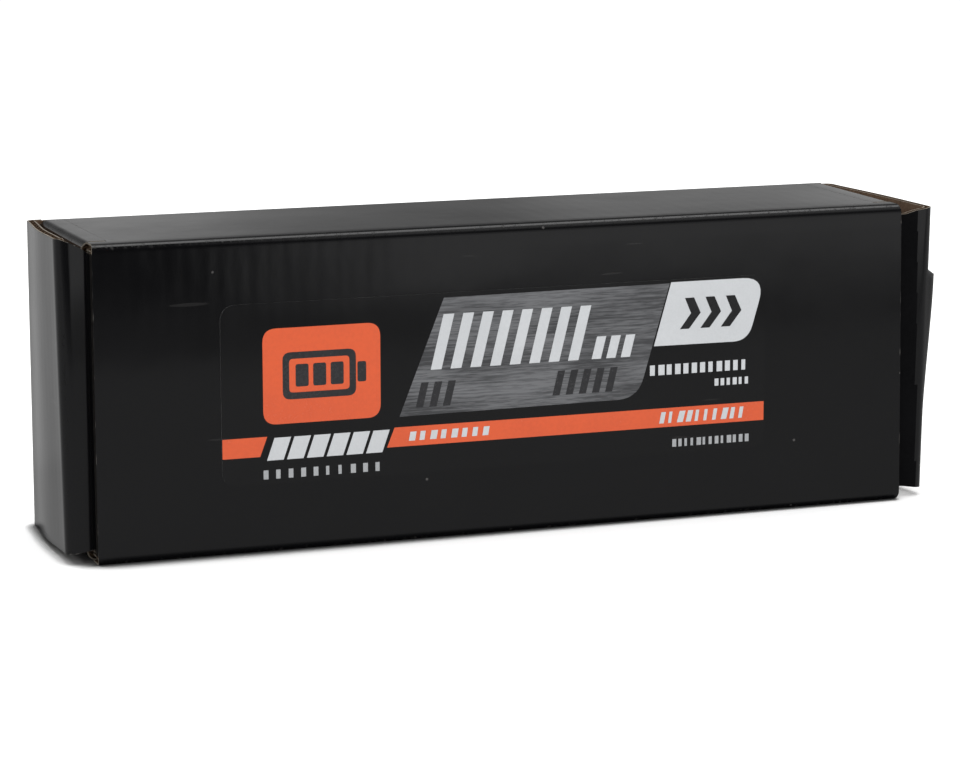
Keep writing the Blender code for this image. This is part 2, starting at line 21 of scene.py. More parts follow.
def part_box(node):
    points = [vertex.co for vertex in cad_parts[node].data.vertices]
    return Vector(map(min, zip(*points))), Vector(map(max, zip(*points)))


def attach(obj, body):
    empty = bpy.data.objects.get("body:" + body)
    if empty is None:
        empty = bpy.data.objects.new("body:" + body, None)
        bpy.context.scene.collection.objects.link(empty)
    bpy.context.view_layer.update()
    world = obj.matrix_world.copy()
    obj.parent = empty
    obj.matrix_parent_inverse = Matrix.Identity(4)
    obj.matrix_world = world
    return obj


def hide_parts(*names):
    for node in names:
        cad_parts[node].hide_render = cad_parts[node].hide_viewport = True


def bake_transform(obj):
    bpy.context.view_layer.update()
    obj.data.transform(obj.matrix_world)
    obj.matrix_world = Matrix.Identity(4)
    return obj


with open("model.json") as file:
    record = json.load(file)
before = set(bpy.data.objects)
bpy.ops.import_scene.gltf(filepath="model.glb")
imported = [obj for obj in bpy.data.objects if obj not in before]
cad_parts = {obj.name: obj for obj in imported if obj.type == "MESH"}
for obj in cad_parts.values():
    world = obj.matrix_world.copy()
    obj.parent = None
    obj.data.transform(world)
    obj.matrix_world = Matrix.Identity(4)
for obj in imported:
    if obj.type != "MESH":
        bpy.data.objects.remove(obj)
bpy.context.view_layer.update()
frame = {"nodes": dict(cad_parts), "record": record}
LOG = logging.getLogger("carton")

MM = 0.001
JOINTS = {joint["name"]: joint for joint in frame["record"]["behaviour"]["joints"]}
Colour = tuple[float, float, float]
Point2 = tuple[float, float]
JOG = 0.06 * MM  # the length over which a sheet's outline steps in or out


def mm(*sizes: float) -> tuple[float, ...]:
    """Sizes that are given in millimetres."""
    return tuple(size * MM for size in sizes)


class Side(Enum):
    """The carton's two ends, by the sign of X."""

    LEFT = -1
    RIGHT = 1

    @property
    def label(self) -> str:
        """The end's name in the record."""
        return self.name.lower()


class Level(Enum):
    """The carton's two long narrow walls, by the sign of Z away from the middle."""

    BOTTOM = -1
    TOP = 1

    @property
    def label(self) -> str:
        """The wall's name in the record."""
        return self.name.lower()


# ---------------------------------------------------------------- node trees for materials


class Bench:
    """A node tree, with short calls that add its nodes and join them."""

    def __init__(self, tree: bpy.types.NodeTree) -> None:
        """Takes the tree that the nodes go into."""
        self.tree = tree

    def give(self, socket: bpy.types.NodeSocket, value: object) -> None:
        """Feeds an input.

        Args:
            socket: The input.
            value: A socket to link, or a value to set.
        """
        if isinstance(value, bpy.types.NodeSocket):
            self.tree.links.new(value, socket)
        else:
            socket.default_value = value

    def node(self, kind: str, inputs: dict | None = None, **settings: object) -> bpy.types.Node:
        """Adds a node.

        Args:
            kind: The node's type.
            inputs: A socket or a value for each input, by its name or number.
            settings: The node's own properties.

        Returns:
            The new node.
        """
        made = self.tree.nodes.new(kind)
        for key, value in settings.items():
            setattr(made, key, value)
        for key, value in (inputs or {}).items():
            self.give(made.inputs[key], value)
        return made

    def math(self, operation: str, *values: object) -> bpy.types.NodeSocket:
        """Adds a Math node and gives its result."""
        return self.node("ShaderNodeMath", dict(enumerate(values)), operation=operation).outputs[0]


class Graph(Bench):
    """A material's node tree."""

    def __init__(self, name: str) -> None:
        """Starts a material whose surface is one Principled shader.

        Args:
            name: The material's name.
        """
        self.material = bpy.data.materials.new(name)
        self.material.use_nodes = True
        super().__init__(self.material.node_tree)
        self.shader = self.tree.nodes["Principled BSDF"]
        self.place = self.node("ShaderNodeTexCoord").outputs["Object"]

    def surface(self, **values: object) -> None:
        """Feeds the shader's sockets, by name with spaces written as underscores."""
        for key, value in values.items():
            self.give(self.shader.inputs[key.replace("_", " ")], value)

    def attribute(self, name: str) -> bpy.types.NodeSocket:
        """Reads one of the piece's own number attributes."""
        return self.node("ShaderNodeAttribute", attribute_name=name).outputs["Fac"]

    def noise(
        self, size: float, stretch: Sequence[float] = (1, 1, 1), detail: float = 3.0, seed: float = 0.0
    ) -> bpy.types.NodeSocket:
        """Adds a noise of the given grain.

        Args:
            size: The grain's size, in metres.
            stretch: How much longer the grain is along X, Y and Z.
            detail: How many finer layers it has.
            seed: Moves the pattern, so that two noises differ.

        Returns:
            The noise, from 0 to 1.
        """
        scale = [1 / (size * longer) for longer in stretch]
        mapping = self.node(
            "ShaderNodeMapping", {"Vector": self.place, "Location": (seed, seed, seed), "Scale": scale}
        )
        return self.node(
            "ShaderNodeTexNoise", {"Vector": mapping.outputs[0], "Scale": 1.0, "Detail": detail}
        ).outputs[0]

    def remap(
        self, value: bpy.types.NodeSocket, start: float, end: float, low: float = 0.0, high: float = 1.0
    ) -> bpy.types.NodeSocket:
        """Turns the span start to end into low to high, smoothly."""
        inputs = {"Value": value, "From Min": start, "From Max": end, "To Min": low, "To Max": high}
        return self.node("ShaderNodeMapRange", inputs, interpolation_type="SMOOTHSTEP").outputs[0]

    def mix(self, share: object, first: object, second: object) -> bpy.types.NodeSocket:
        """Mixes two colours.

        Args:
            share: How much of the second colour shows.
            first: A colour or a socket.
            second: A colour or a socket.

        Returns:
            The mixed colour.
        """
        colours = [
            colour if isinstance(colour, bpy.types.NodeSocket) else (*colour, 1) for colour in (first, second)
        ]
        inputs = {0: share, 6: colours[0], 7: colours[1]}
        return self.node("ShaderNodeMix", inputs, data_type="RGBA").outputs[2]

    def bump(
        self, height: bpy.types.NodeSocket, depth: float, under: bpy.types.NodeSocket | None = None
    ) -> bpy.types.NodeSocket:
        """Adds relief.

        Args:
            height: The relief's pattern, from 0 to 1.
            depth: The relief's height, in metres.
            under: The normal of the relief that this one lies on.

        Returns:
            The surface's normal.
        """
        inputs = {"Height": height, "Distance": depth, "Strength": 1.0}
        if under is not None:
            inputs["Normal"] = under
        return self.node("ShaderNodeBump", inputs).outputs[0]


@dataclass(frozen=True)
class Finish:
    """A surface with a colour that varies, a roughness that varies and a fine grain."""

    name: str
    colour: Colour
    shade: Colour
    roughness: tuple[float, float]
    metallic: float = 0.0
    gloss: float = 0.5
    grain: float = 0.6 * MM
    stretch: tuple[float, float, float] = (1, 1, 1)
    relief: float = 0.01 * MM
    patch: float = 9 * MM

    def material(self) -> bpy.types.Material:
        """The finish's material, built once."""
        built = bpy.data.materials.get(self.name)
        return built if built is not None else self.build()

    def build(self) -> bpy.types.Material:
        """Builds the material.

        Returns:
            The new material.
        """
        graph = Graph(self.name)
        fine = graph.noise(self.grain, self.stretch, 4.0)
        wide = graph.noise(self.patch, self.stretch, 2.0, seed=3.1)
        both = graph.math("MULTIPLY_ADD", fine, 0.5, graph.math("MULTIPLY", wide, 0.5))
        graph.surface(
            Base_Color=graph.mix(graph.remap(both, 0.35, 0.65), self.colour, self.shade),
            Roughness=graph.remap(both, 0.3, 0.7, *self.roughness),
            Metallic=self.metallic,
            Specular_IOR_Level=self.gloss,
            Normal=graph.bump(fine, self.relief),
        )
        return graph.material


@dataclass(frozen=True)
class GlossCoat(Finish):
    """The carton's black coating: glossy, a little wavy over the flutes, with dust and worn creases."""

    flute_pitch: float = 3.2 * MM
    flute_relief: float = 0.003 * MM
    wave: float = 0.055 * MM
    wave_size: float = 17 * MM
    ripple: float = 0.022 * MM
    ripple_size: float = 5 * MM
    dust: Colour = (0.16, 0.155, 0.15)
    worn: Colour = (0.20, 0.185, 0.165)

    def build(self) -> bpy.types.Material:
        """Builds the material from the piece's flute and crease attributes.

        Returns:
            The new material.
        """
        graph = Graph(self.name)
        turn = graph.math("MULTIPLY", graph.attribute("flute"), 2 * pi / self.flute_pitch)
        flutes = graph.math("MULTIPLY_ADD", graph.math("SINE", turn), 0.5, 0.5)
        normal = graph.bump(flutes, self.flute_relief)
        normal = graph.bump(graph.noise(self.wave_size, detail=1.0), self.wave, normal)
        normal = graph.bump(graph.noise(self.ripple_size, (1, 1, 2.5), 2.0, seed=5.3), self.ripple, normal)
        normal = graph.bump(graph.noise(0.35 * MM, detail=2.0, seed=1.7), self.relief, normal)
        specks = graph.remap(self.specks(graph), 0.055, 0.03)
        scratches = graph.remap(graph.noise(1.2 * MM, (14, 14, 1), 1.0, seed=8.2), 0.735, 0.765)
        rubbed = graph.math("MULTIPLY", graph.attribute("crease"), graph.noise(0.8 * MM, (1, 1, 3), 4.0, 2.6))
        colour = graph.mix(graph.noise(self.patch, detail=2.0), self.colour, self.shade)
        colour = graph.mix(graph.math("MULTIPLY", specks, 0.4), colour, self.dust)
        colour = graph.mix(graph.math("MULTIPLY", scratches, 0.06), colour, self.dust)
        colour = graph.mix(graph.remap(rubbed, 0.50, 0.66, 0.0, 0.5), colour, self.worn)
        cloudy = graph.remap(graph.noise(self.patch, detail=4.0, seed=4.4), 0.3, 0.7, *self.roughness)
        graph.surface(
            Base_Color=colour,
            Roughness=graph.math("MAXIMUM", cloudy, graph.remap(rubbed, 0.3, 0.6, 0.0, 0.5)),
            Specular_IOR_Level=self.gloss,
            Normal=normal,
        )
        return graph.material

    @staticmethod
    def specks(graph: Graph) -> bpy.types.NodeSocket:
        """The distance to the nearest speck of dust, where a speck is kept only now and then.

        Args:
            graph: The material's node tree.

        Returns:
            The distance, in cells.
        """
        scaled = graph.node("ShaderNodeMapping", {"Vector": graph.place, "Scale": (170, 170, 170)})
        cells = graph.node("ShaderNodeTexVoronoi", {"Vector": scaled.outputs[0], "Scale": 1.0})
        kept = graph.node("ShaderNodeSeparateColor", {"Color": cells.outputs["Color"]}).outputs[0]
        return graph.math("ADD", cells.outputs["Distance"], graph.math("LESS_THAN", kept, 0.72))


@dataclass(frozen=True)
class Paper(Finish):
    """Kraft paper: short fibres in a patchy brown."""

    fibre: float = 0.5 * MM

    def build(self) -> bpy.types.Material:
        """Builds the material.

        Returns:
            The new material.
        """
        graph = Graph(self.name)
        fibres = graph.noise(self.fibre, self.stretch, 5.0)
        clouds = graph.noise(self.patch, detail=3.0, seed=6.5)
        flecks = graph.remap(graph.noise(0.7 * MM, (1, 1, 3), 1.0, seed=9.1), 0.70, 0.74)
        colour = graph.mix(graph.remap(fibres, 0.3, 0.7), self.colour, self.shade)
        colour = graph.mix(graph.remap(clouds, 0.3, 0.8, 0.0, 0.35), colour, self.shade)
        dark = tuple(part * 0.4 for part in self.shade)
        graph.surface(
            Base_Color=graph.mix(graph.math("MULTIPLY", flecks, 0.6), colour, dark),
            Roughness=graph.remap(clouds, 0.3, 0.7, *self.roughness),
            Specular_IOR_Level=self.gloss,
            Normal=graph.bump(fibres, self.relief),
        )
        return graph.material


@dataclass(frozen=True)
class BrushedInk(Finish):
    """Grey ink printed to look like brushed metal, with long thin streaks."""

    def build(self) -> bpy.types.Material:
        """Builds the material.

        Returns:
            The new material.
        """
        graph = Graph(self.name)
        long_streaks = graph.noise(0.42 * MM, (26, 1, 1), 3.0)
        short_streaks = graph.noise(0.24 * MM, (11, 1, 1), 2.0, seed=7.7)
        bands = graph.noise(4.5 * MM, (5, 1, 1), 1.0, seed=2.2)
        streaks = graph.math(
            "ADD", graph.math("MULTIPLY", long_streaks, 0.6), graph.math("MULTIPLY", short_streaks, 0.4)
        )
        toned = graph.math("ADD", graph.math("MULTIPLY", bands, 0.35), graph.math("MULTIPLY", streaks, 0.65))
        graph.surface(
            Base_Color=graph.mix(graph.remap(toned, 0.36, 0.64), self.shade, self.colour),
            Roughness=graph.remap(streaks, 0.3, 0.7, *self.roughness),
            Specular_IOR_Level=self.gloss,
            Normal=graph.bump(streaks, self.relief),
        )
        return graph.material


COAT = GlossCoat(
    "gloss_black_coat", (0.0022, 0.0022, 0.0026), (0.0036, 0.0036, 0.0041), (0.085, 0.15),
    gloss=0.42, relief=0.0012 * MM, patch=22 * MM,
)
KRAFT = Paper("kraft_liner", (0.175, 0.112, 0.072), (0.115, 0.072, 0.045), (0.82, 0.95), gloss=0.2)
CUT_PAPER = Paper(
    "cut_liner", (0.29, 0.26, 0.22), (0.14, 0.118, 0.092), (0.8, 0.95), gloss=0.2, patch=5 * MM
)
# Black that stands in for the shade on cut edges and seams: painted shade.
PAINTED_EDGE_SHADE = Paper("inked_edge", (0.018, 0.016, 0.014), (0.007, 0.006, 0.006), (0.8, 0.95), gloss=0.2)
# Matt black that stands in for the shade and dark reflection on the tuck flap beside the front panel: painted
# shade.
TUCK_SHADE_COAT = Finish(
    "matt_black_coat", (0.003, 0.003, 0.0034), (0.0042, 0.0042, 0.0047), (0.8, 0.95), gloss=0.04,
    relief=0.002 * MM,
)
FLUTE_PAPER = Paper("fluting_paper", (0.13, 0.082, 0.05), (0.07, 0.045, 0.028), (0.85, 0.95), gloss=0.1)
FILM = GlossCoat(
    "label_black_film", (0.0022, 0.0022, 0.0026), (0.0032, 0.0032, 0.0036), (0.09, 0.14),
    gloss=0.46, relief=0.0008 * MM, flute_relief=0.002 * MM, wave=0.045 * MM, patch=15 * MM,
)
FILM_EDGE = Finish("label_cut_edge", (0.20, 0.20, 0.20), (0.10, 0.10, 0.10), (0.4, 0.6))
ORANGE = Finish(
    "orange_ink", (0.66, 0.102, 0.034), (0.61, 0.092, 0.031), (0.20, 0.28), gloss=0.4,
    relief=0.0006 * MM, patch=12 * MM,
)
WHITE_INK = Finish(
    "white_ink", (0.545, 0.56, 0.575), (0.505, 0.52, 0.535), (0.22, 0.30), gloss=0.4,
    relief=0.0006 * MM, patch=14 * MM,
)
GREY_INK = Finish("grey_ink", (0.36, 0.37, 0.38), (0.31, 0.32, 0.33), (0.25, 0.32), gloss=0.4)
BLACK_INK = Finish(
    "black_ink", (0.010, 0.010, 0.011), (0.014, 0.014, 0.015), (0.18, 0.26), gloss=0.4, relief=0.0006 * MM
)
SHADE_INK = Finish("dark_grey_ink", (0.022, 0.022, 0.024), (0.030, 0.030, 0.032), (0.2, 0.3), gloss=0.4)
BRUSHED = BrushedInk(
    "brushed_grey_ink", (0.150, 0.153, 0.160), (0.048, 0.049, 0.052), (0.22, 0.34), gloss=0.4,
    relief=0.002 * MM,
)
CASE = Finish(
    "textured_black_plastic", (0.020, 0.020, 0.022), (0.030, 0.030, 0.032), (0.42, 0.58),
    grain=0.35 * MM, relief=0.025 * MM,
)
PACK_FILM = Finish(
    "pack_label_film", (0.030, 0.030, 0.033), (0.040, 0.040, 0.044), (0.20, 0.28), relief=0.001 * MM
)
FOIL = Finish(
    "pouch_foil", (0.62, 0.63, 0.65), (0.52, 0.53, 0.55), (0.28, 0.42), metallic=0.9,
    grain=1.8 * MM, relief=0.03 * MM,
)
FOAM = Finish(
    "closed_cell_foam", (0.035, 0.035, 0.037), (0.055, 0.055, 0.058), (0.9, 1.0), grain=0.4 * MM,
    relief=0.12 * MM, gloss=0.2,
)
POLYIMIDE = Finish("amber_film", (0.50, 0.22, 0.03), (0.38, 0.15, 0.02), (0.22, 0.35), relief=0.004 * MM)
ALUMINIUM = Finish(
    "rolled_aluminium", (0.78, 0.79, 0.80), (0.66, 0.67, 0.68), (0.25, 0.42), metallic=1.0,
    stretch=(1, 1, 12), grain=0.15 * MM, relief=0.004 * MM,
)
NICKEL = Finish(
    "nickel_strip", (0.58, 0.55, 0.50), (0.48, 0.455, 0.41), (0.25, 0.40), metallic=1.0,
    stretch=(1, 1, 12), grain=0.15 * MM, relief=0.004 * MM,
)
COPPER = Finish(
    "copper_bar", (0.72, 0.38, 0.25), (0.52, 0.25, 0.15), (0.22, 0.40), metallic=1.0,
    stretch=(1, 1, 10), grain=0.2 * MM, relief=0.004 * MM,
)
LAMINATE = Finish(
    "solder_mask", (0.012, 0.10, 0.040), (0.018, 0.145, 0.060), (0.28, 0.42), grain=1.1 * MM,
    relief=0.01 * MM,
)
EPOXY = Finish("chip_epoxy", (0.018, 0.018, 0.019), (0.028, 0.028, 0.028), (0.5, 0.65), grain=0.2 * MM)
RUBBER = Finish(
    "moulded_rubber", (0.016, 0.016, 0.016), (0.028, 0.028, 0.027), (0.62, 0.8), grain=0.5 * MM,
    relief=0.02 * MM,
)
RED_SILICONE = Finish(
    "red_silicone", (0.46, 0.012, 0.012), (0.38, 0.010, 0.010), (0.42, 0.58), grain=0.4 * MM,
    relief=0.008 * MM,
)
BLACK_SILICONE = Finish(
    "black_silicone", (0.014, 0.014, 0.014), (0.022, 0.022, 0.022), (0.42, 0.58), grain=0.4 * MM,
    relief=0.008 * MM,
)
WHITE_NYLON = Finish("white_nylon", (0.74, 0.73, 0.69), (0.66, 0.65, 0.61), (0.35, 0.5), relief=0.006 * MM)
BLUE_NYLON = Finish("blue_nylon", (0.035, 0.085, 0.27), (0.028, 0.07, 0.22), (0.38, 0.52), relief=0.008 * MM)
GOLD = Finish(
    "gold_plate", (0.86, 0.62, 0.25), (0.78, 0.54, 0.20), (0.16, 0.28), metallic=1.0, relief=0.002 * MM
)


# ---------------------------------------------------------------- shared mesh work


def mesh_object(name: str, data: bpy.types.Mesh | bpy.types.Curve) -> bpy.types.Object:
    """Puts a mesh or a curve into the scene as an object at the origin.

    Args:
        name: The object's name.
        data: The mesh or curve.

    Returns:
        The object.
    """
    made = bpy.data.objects.new(name, data)
    bpy.context.scene.collection.objects.link(made)
    return made


def polyline(name: str, points: Sequence[Sequence[float]]) -> bpy.types.Object:
    """Makes an object that holds one open line of edges.

    Args:
        name: The object's name.
        points: The line's points.

    Returns:
        The object.
    """
    mesh = bpy.data.meshes.new(name)
    edges = [(index, index + 1) for index in range(len(points) - 1)]
    mesh.from_pydata([tuple(point) for point in points], edges, [])
    return mesh_object(name, mesh)


def close_up(mesh: bpy.types.Mesh, merge: float = 1e-7, sharp: float = radians(35)) -> None:
    """Merges doubled points, turns faces outwards and smooths all but the sharp edges.

    Args:
        mesh: A closed mesh.
        merge: Points nearer than this become one.
        sharp: The angle above which an edge stays sharp.
    """
    shape = bmesh.new()
    shape.from_mesh(mesh)
    bmesh.ops.remove_doubles(shape, verts=shape.verts, dist=merge)
    bmesh.ops.dissolve_degenerate(shape, edges=shape.edges, dist=merge)
    bmesh.ops.recalc_face_normals(shape, faces=shape.faces)
    shape.to_mesh(mesh)
    shape.free()
    mesh.shade_smooth()
    mesh.set_sharp_from_angle(angle=sharp)


def evaluated_mesh(source: bpy.types.Object, name: str) -> bpy.types.Mesh:
    """A plain mesh of the object with its modifiers, which are then removed with it.

    Args:
        source: The object to evaluate. It is deleted.
        name: The new mesh's name.

    Returns:
        The mesh.
    """
    bpy.context.view_layer.update()
    mesh = bpy.data.meshes.new_from_object(source.evaluated_get(bpy.context.evaluated_depsgraph_get()))
    mesh.name = name
    bpy.data.objects.remove(source)
    return mesh


def move_points(mesh: bpy.types.Mesh, move: Callable[[np.ndarray], np.ndarray]) -> None:
    """Moves every point of a mesh.

    Args:
        mesh: The mesh.
        move: Takes and gives an array of places.
    """
    places = np.empty(len(mesh.vertices) * 3, np.float64)
    mesh.vertices.foreach_get("co", places)
    mesh.vertices.foreach_set("co", move(places.reshape(-1, 3)).astype(np.float32).ravel())
    mesh.update()


def dress(node: str, finish: Finish) -> None:
    """Gives a CAD node's object the finish in each of its material slots."""
    for slot in frame["nodes"][node].material_slots:
        slot.material = finish.material()


class Tree(Bench):
    """A Geometry Nodes tree with named inputs."""

    def __init__(self, name: str, inputs: dict[str, str]) -> None:
        """Starts a tree that takes and gives a geometry.

        Args:
            name: The tree's name.
            inputs: The type of each further input's socket, by name.
        """
        super().__init__(bpy.data.node_groups.new(name, "GeometryNodeTree"))
        face = self.tree.interface
        for way in ("INPUT", "OUTPUT"):
            face.new_socket("Geometry", in_out=way, socket_type="NodeSocketGeometry")
        self.sockets = {
            key: face.new_socket(key, in_out="INPUT", socket_type=kind).identifier
            for key, kind in inputs.items()
        }
        self.given = self.node("NodeGroupInput").outputs

    def finish(self, geometry: bpy.types.NodeSocket) -> None:
        """Ends the tree in Realize Instances and Set Material, which takes the Finish input.

        Args:
            geometry: What the tree has made.
        """
        real = self.node("GeometryNodeRealizeInstances", {"Geometry": geometry})
        dressed = self.node(
            "GeometryNodeSetMaterial", {"Geometry": real.outputs[0], "Material": self.given["Finish"]}
        )
        self.node("NodeGroupOutput", {"Geometry": dressed.outputs[0]})

    def apply(self, source: bpy.types.Object, name: str, **values: object) -> bpy.types.Mesh:
        """Runs the tree on an object and gives the result as a plain mesh.

        Args:
            source: The object, which is used up.
            name: The new mesh's name.
            values: The named inputs' values.

        Returns:
            The mesh.
        """
        modifier = source.modifiers.new(self.tree.name, "NODES")
        modifier.node_group = self.tree
        for key, value in values.items():
            modifier[self.sockets[key]] = value
        return evaluated_mesh(source, name)


def fluting_tree() -> Tree:
    """A wavy strip of paper that follows a line in its own XY plane and is Width tall.

    Returns:
        The tree.
    """
    sizes = dict.fromkeys(("Pitch", "Rise", "Thickness", "Width"), "NodeSocketFloat")
    tree = Tree("fluting", {**sizes, "Finish": "NodeSocketMaterial"})
    line = tree.node("GeometryNodeMeshToCurve", {"Mesh": tree.given["Geometry"]})
    step = tree.math("DIVIDE", tree.given["Pitch"], 12.0)
    dense = tree.node("GeometryNodeResampleCurve", {"Curve": line.outputs[0], "Length": step}, mode="LENGTH")
    upright = tree.node("GeometryNodeSetCurveNormal", {"Curve": dense.outputs[0]}, mode="Z_UP")
    length = tree.node("GeometryNodeSplineParameter").outputs["Length"]
    turn = tree.math("DIVIDE", tree.math("MULTIPLY", length, 2 * pi), tree.given["Pitch"])
    rise = tree.math("MULTIPLY", tree.math("SINE", turn), tree.given["Rise"])
    normal = tree.node("GeometryNodeInputNormal").outputs[0]
    offset = tree.node("ShaderNodeVectorMath", {0: normal, "Scale": rise}, operation="SCALE").outputs[0]
    wave = tree.node("GeometryNodeSetPosition", {"Geometry": upright.outputs[0], "Offset": offset})
    section = tree.node(
        "GeometryNodeCurvePrimitiveQuadrilateral",
        {"Width": tree.given["Thickness"], "Height": tree.given["Width"]},
    )
    strip = tree.node(
        "GeometryNodeCurveToMesh",
        {"Curve": wave.outputs[0], "Profile Curve": section.outputs[0], "Fill Caps": True},
    )
    tree.finish(strip.outputs[0])
    return tree


def row_tree() -> Tree:
    """The object's own shape, repeated Count times, each one Step on from the last.

    Each copy is narrowed along X by a random share, never below Narrowest.

    Returns:
        The tree.
    """
    inputs = {
        "Count": "NodeSocketInt", "Step": "NodeSocketVector", "Narrowest": "NodeSocketFloat",
        "Seed": "NodeSocketInt", "Finish": "NodeSocketMaterial",
    }
    tree = Tree("row", inputs)
    points = tree.node("GeometryNodeMeshLine", {"Count": tree.given["Count"], "Offset": tree.given["Step"]})
    width = tree.node(
        "FunctionNodeRandomValue",
        {"Min": tree.given["Narrowest"], "Max": 1.0, "Seed": tree.given["Seed"]},
        data_type="FLOAT",
    )
    width_socket = next(socket for socket in width.outputs if socket.enabled)
    scale = tree.node("ShaderNodeCombineXYZ", {"X": width_socket, "Y": 1.0, "Z": 1.0})
    placed = tree.node(
        "GeometryNodeInstanceOnPoints",
        {"Points": points.outputs[0], "Instance": tree.given["Geometry"], "Scale": scale.outputs[0]},
    )
    tree.finish(placed.outputs[0])
    return tree


def cable_tree() -> Tree:
    """A round cable along the object's own line of edges.

    Returns:
        The tree.
    """
    tree = Tree("cable", {"Radius": "NodeSocketFloat", "Finish": "NodeSocketMaterial"})
    line = tree.node("GeometryNodeMeshToCurve", {"Mesh": tree.given["Geometry"]})
    upright = tree.node("GeometryNodeSetCurveNormal", {"Curve": line.outputs[0]}, mode="Z_UP")
    size = {"Resolution": 20, "Radius": tree.given["Radius"]}
    section = tree.node("GeometryNodeCurvePrimitiveCircle", size)
    cable = tree.node(
        "GeometryNodeCurveToMesh",
        {"Curve": upright.outputs[0], "Profile Curve": section.outputs[0], "Fill Caps": True},
    )
    tree.finish(cable.outputs[0])
    return tree


# ---------------------------------------------------------------- corrugated board


@dataclass
class BentLine:
    """The line that a bent board's middle follows, as straight runs joined by arcs.

    Attributes:
        corners: The places where the runs would meet, with the line's two ends.
        radii: The arc's radius at each inner corner.
        outward: 1 where the board's outer face is on the line's left, -1 on its right.
    """

    corners: Sequence[Point2]
    radii: Sequence[float]
    outward: int
    length: float = 0.0
    creases: list[float] = field(default_factory=list)
    pieces: list[tuple] = field(default_factory=list)

    def __post_init__(self) -> None:
        """Splits the line into its runs and arcs."""
        points = [np.array(corner, float) for corner in self.corners]
        cursor = points[0]
        for corner, following, radius in zip(points[1:], points[2:], self.radii):
            before = (corner - cursor) / np.linalg.norm(corner - cursor)
            after = (following - corner) / np.linalg.norm(following - corner)
            turn = atan2(before[0] * after[1] - before[1] * after[0], float(before @ after))
            reach = radius * tan(abs(turn) / 2)
            self.add_run(cursor, corner - before * reach)
            side = np.array([-before[1], before[0]]) * (1 if turn > 0 else -1)
            centre = corner - before * reach + side * radius
            arc_length = radius * abs(turn)
            self.creases.append(self.length + arc_length / 2)
            self.pieces.append(("arc", self.length, arc_length, centre, before, turn, radius))
            self.length += arc_length
            cursor = corner + after * reach
        self.add_run(cursor, points[-1])

    def add_run(self, start: np.ndarray, end: np.ndarray) -> None:
        """Adds a straight run.

        Args:
            start: Where it starts.
            end: Where it ends.
        """
        run = float(np.linalg.norm(end - start))
        self.pieces.append(("run", self.length, run, start, (end - start) / run))
        self.length += run

    def at(self, along: float) -> tuple[np.ndarray, np.ndarray]:
        """The place and direction at a distance along the line.

        Args:
            along: The distance from the line's start.

        Returns:
            The place and the unit direction.
        """
        kind, start, run, *shape = next(
            piece for piece in reversed(self.pieces) if along >= piece[1] or piece[1] == 0.0
        )
        past = along - start
        if kind == "run":
            return shape[0] + shape[1] * past, shape[1]
        centre, before, turn, radius = shape
        angle = turn * past / run
        spin = np.array([[cos(angle), -sin(angle)], [sin(angle), cos(angle)]])
        direction = spin @ before
        inward = np.array([-direction[1], direction[0]]) * (1 if turn > 0 else -1)
        return centre - inward * radius, direction

    def stations(self, step: float, extra: Sequence[float] = ()) -> np.ndarray:
        """The distances at which the board gets a line of points.

        Args:
            step: The most between two of them on a straight run.
            extra: Distances that must be among them.

        Returns:
            The distances, in order.
        """
        near_end = 0.3 * MM
        found = [0.0, near_end, self.length - near_end, self.length, *extra]
        for kind, start, run, *_ in self.pieces:
            parts = 8 if kind == "arc" else max(1, round(run / step))
            found += [start + run * part / parts for part in range(parts + 1)]
        found = np.unique(np.clip(np.round(found, 7), 0, self.length))
        keep = np.concatenate([[True], np.diff(found) > 0.02 * MM])
        keep[-2:] = [keep[-2] and found[-1] - found[-2] > 0.02 * MM, True]
        return found[keep]


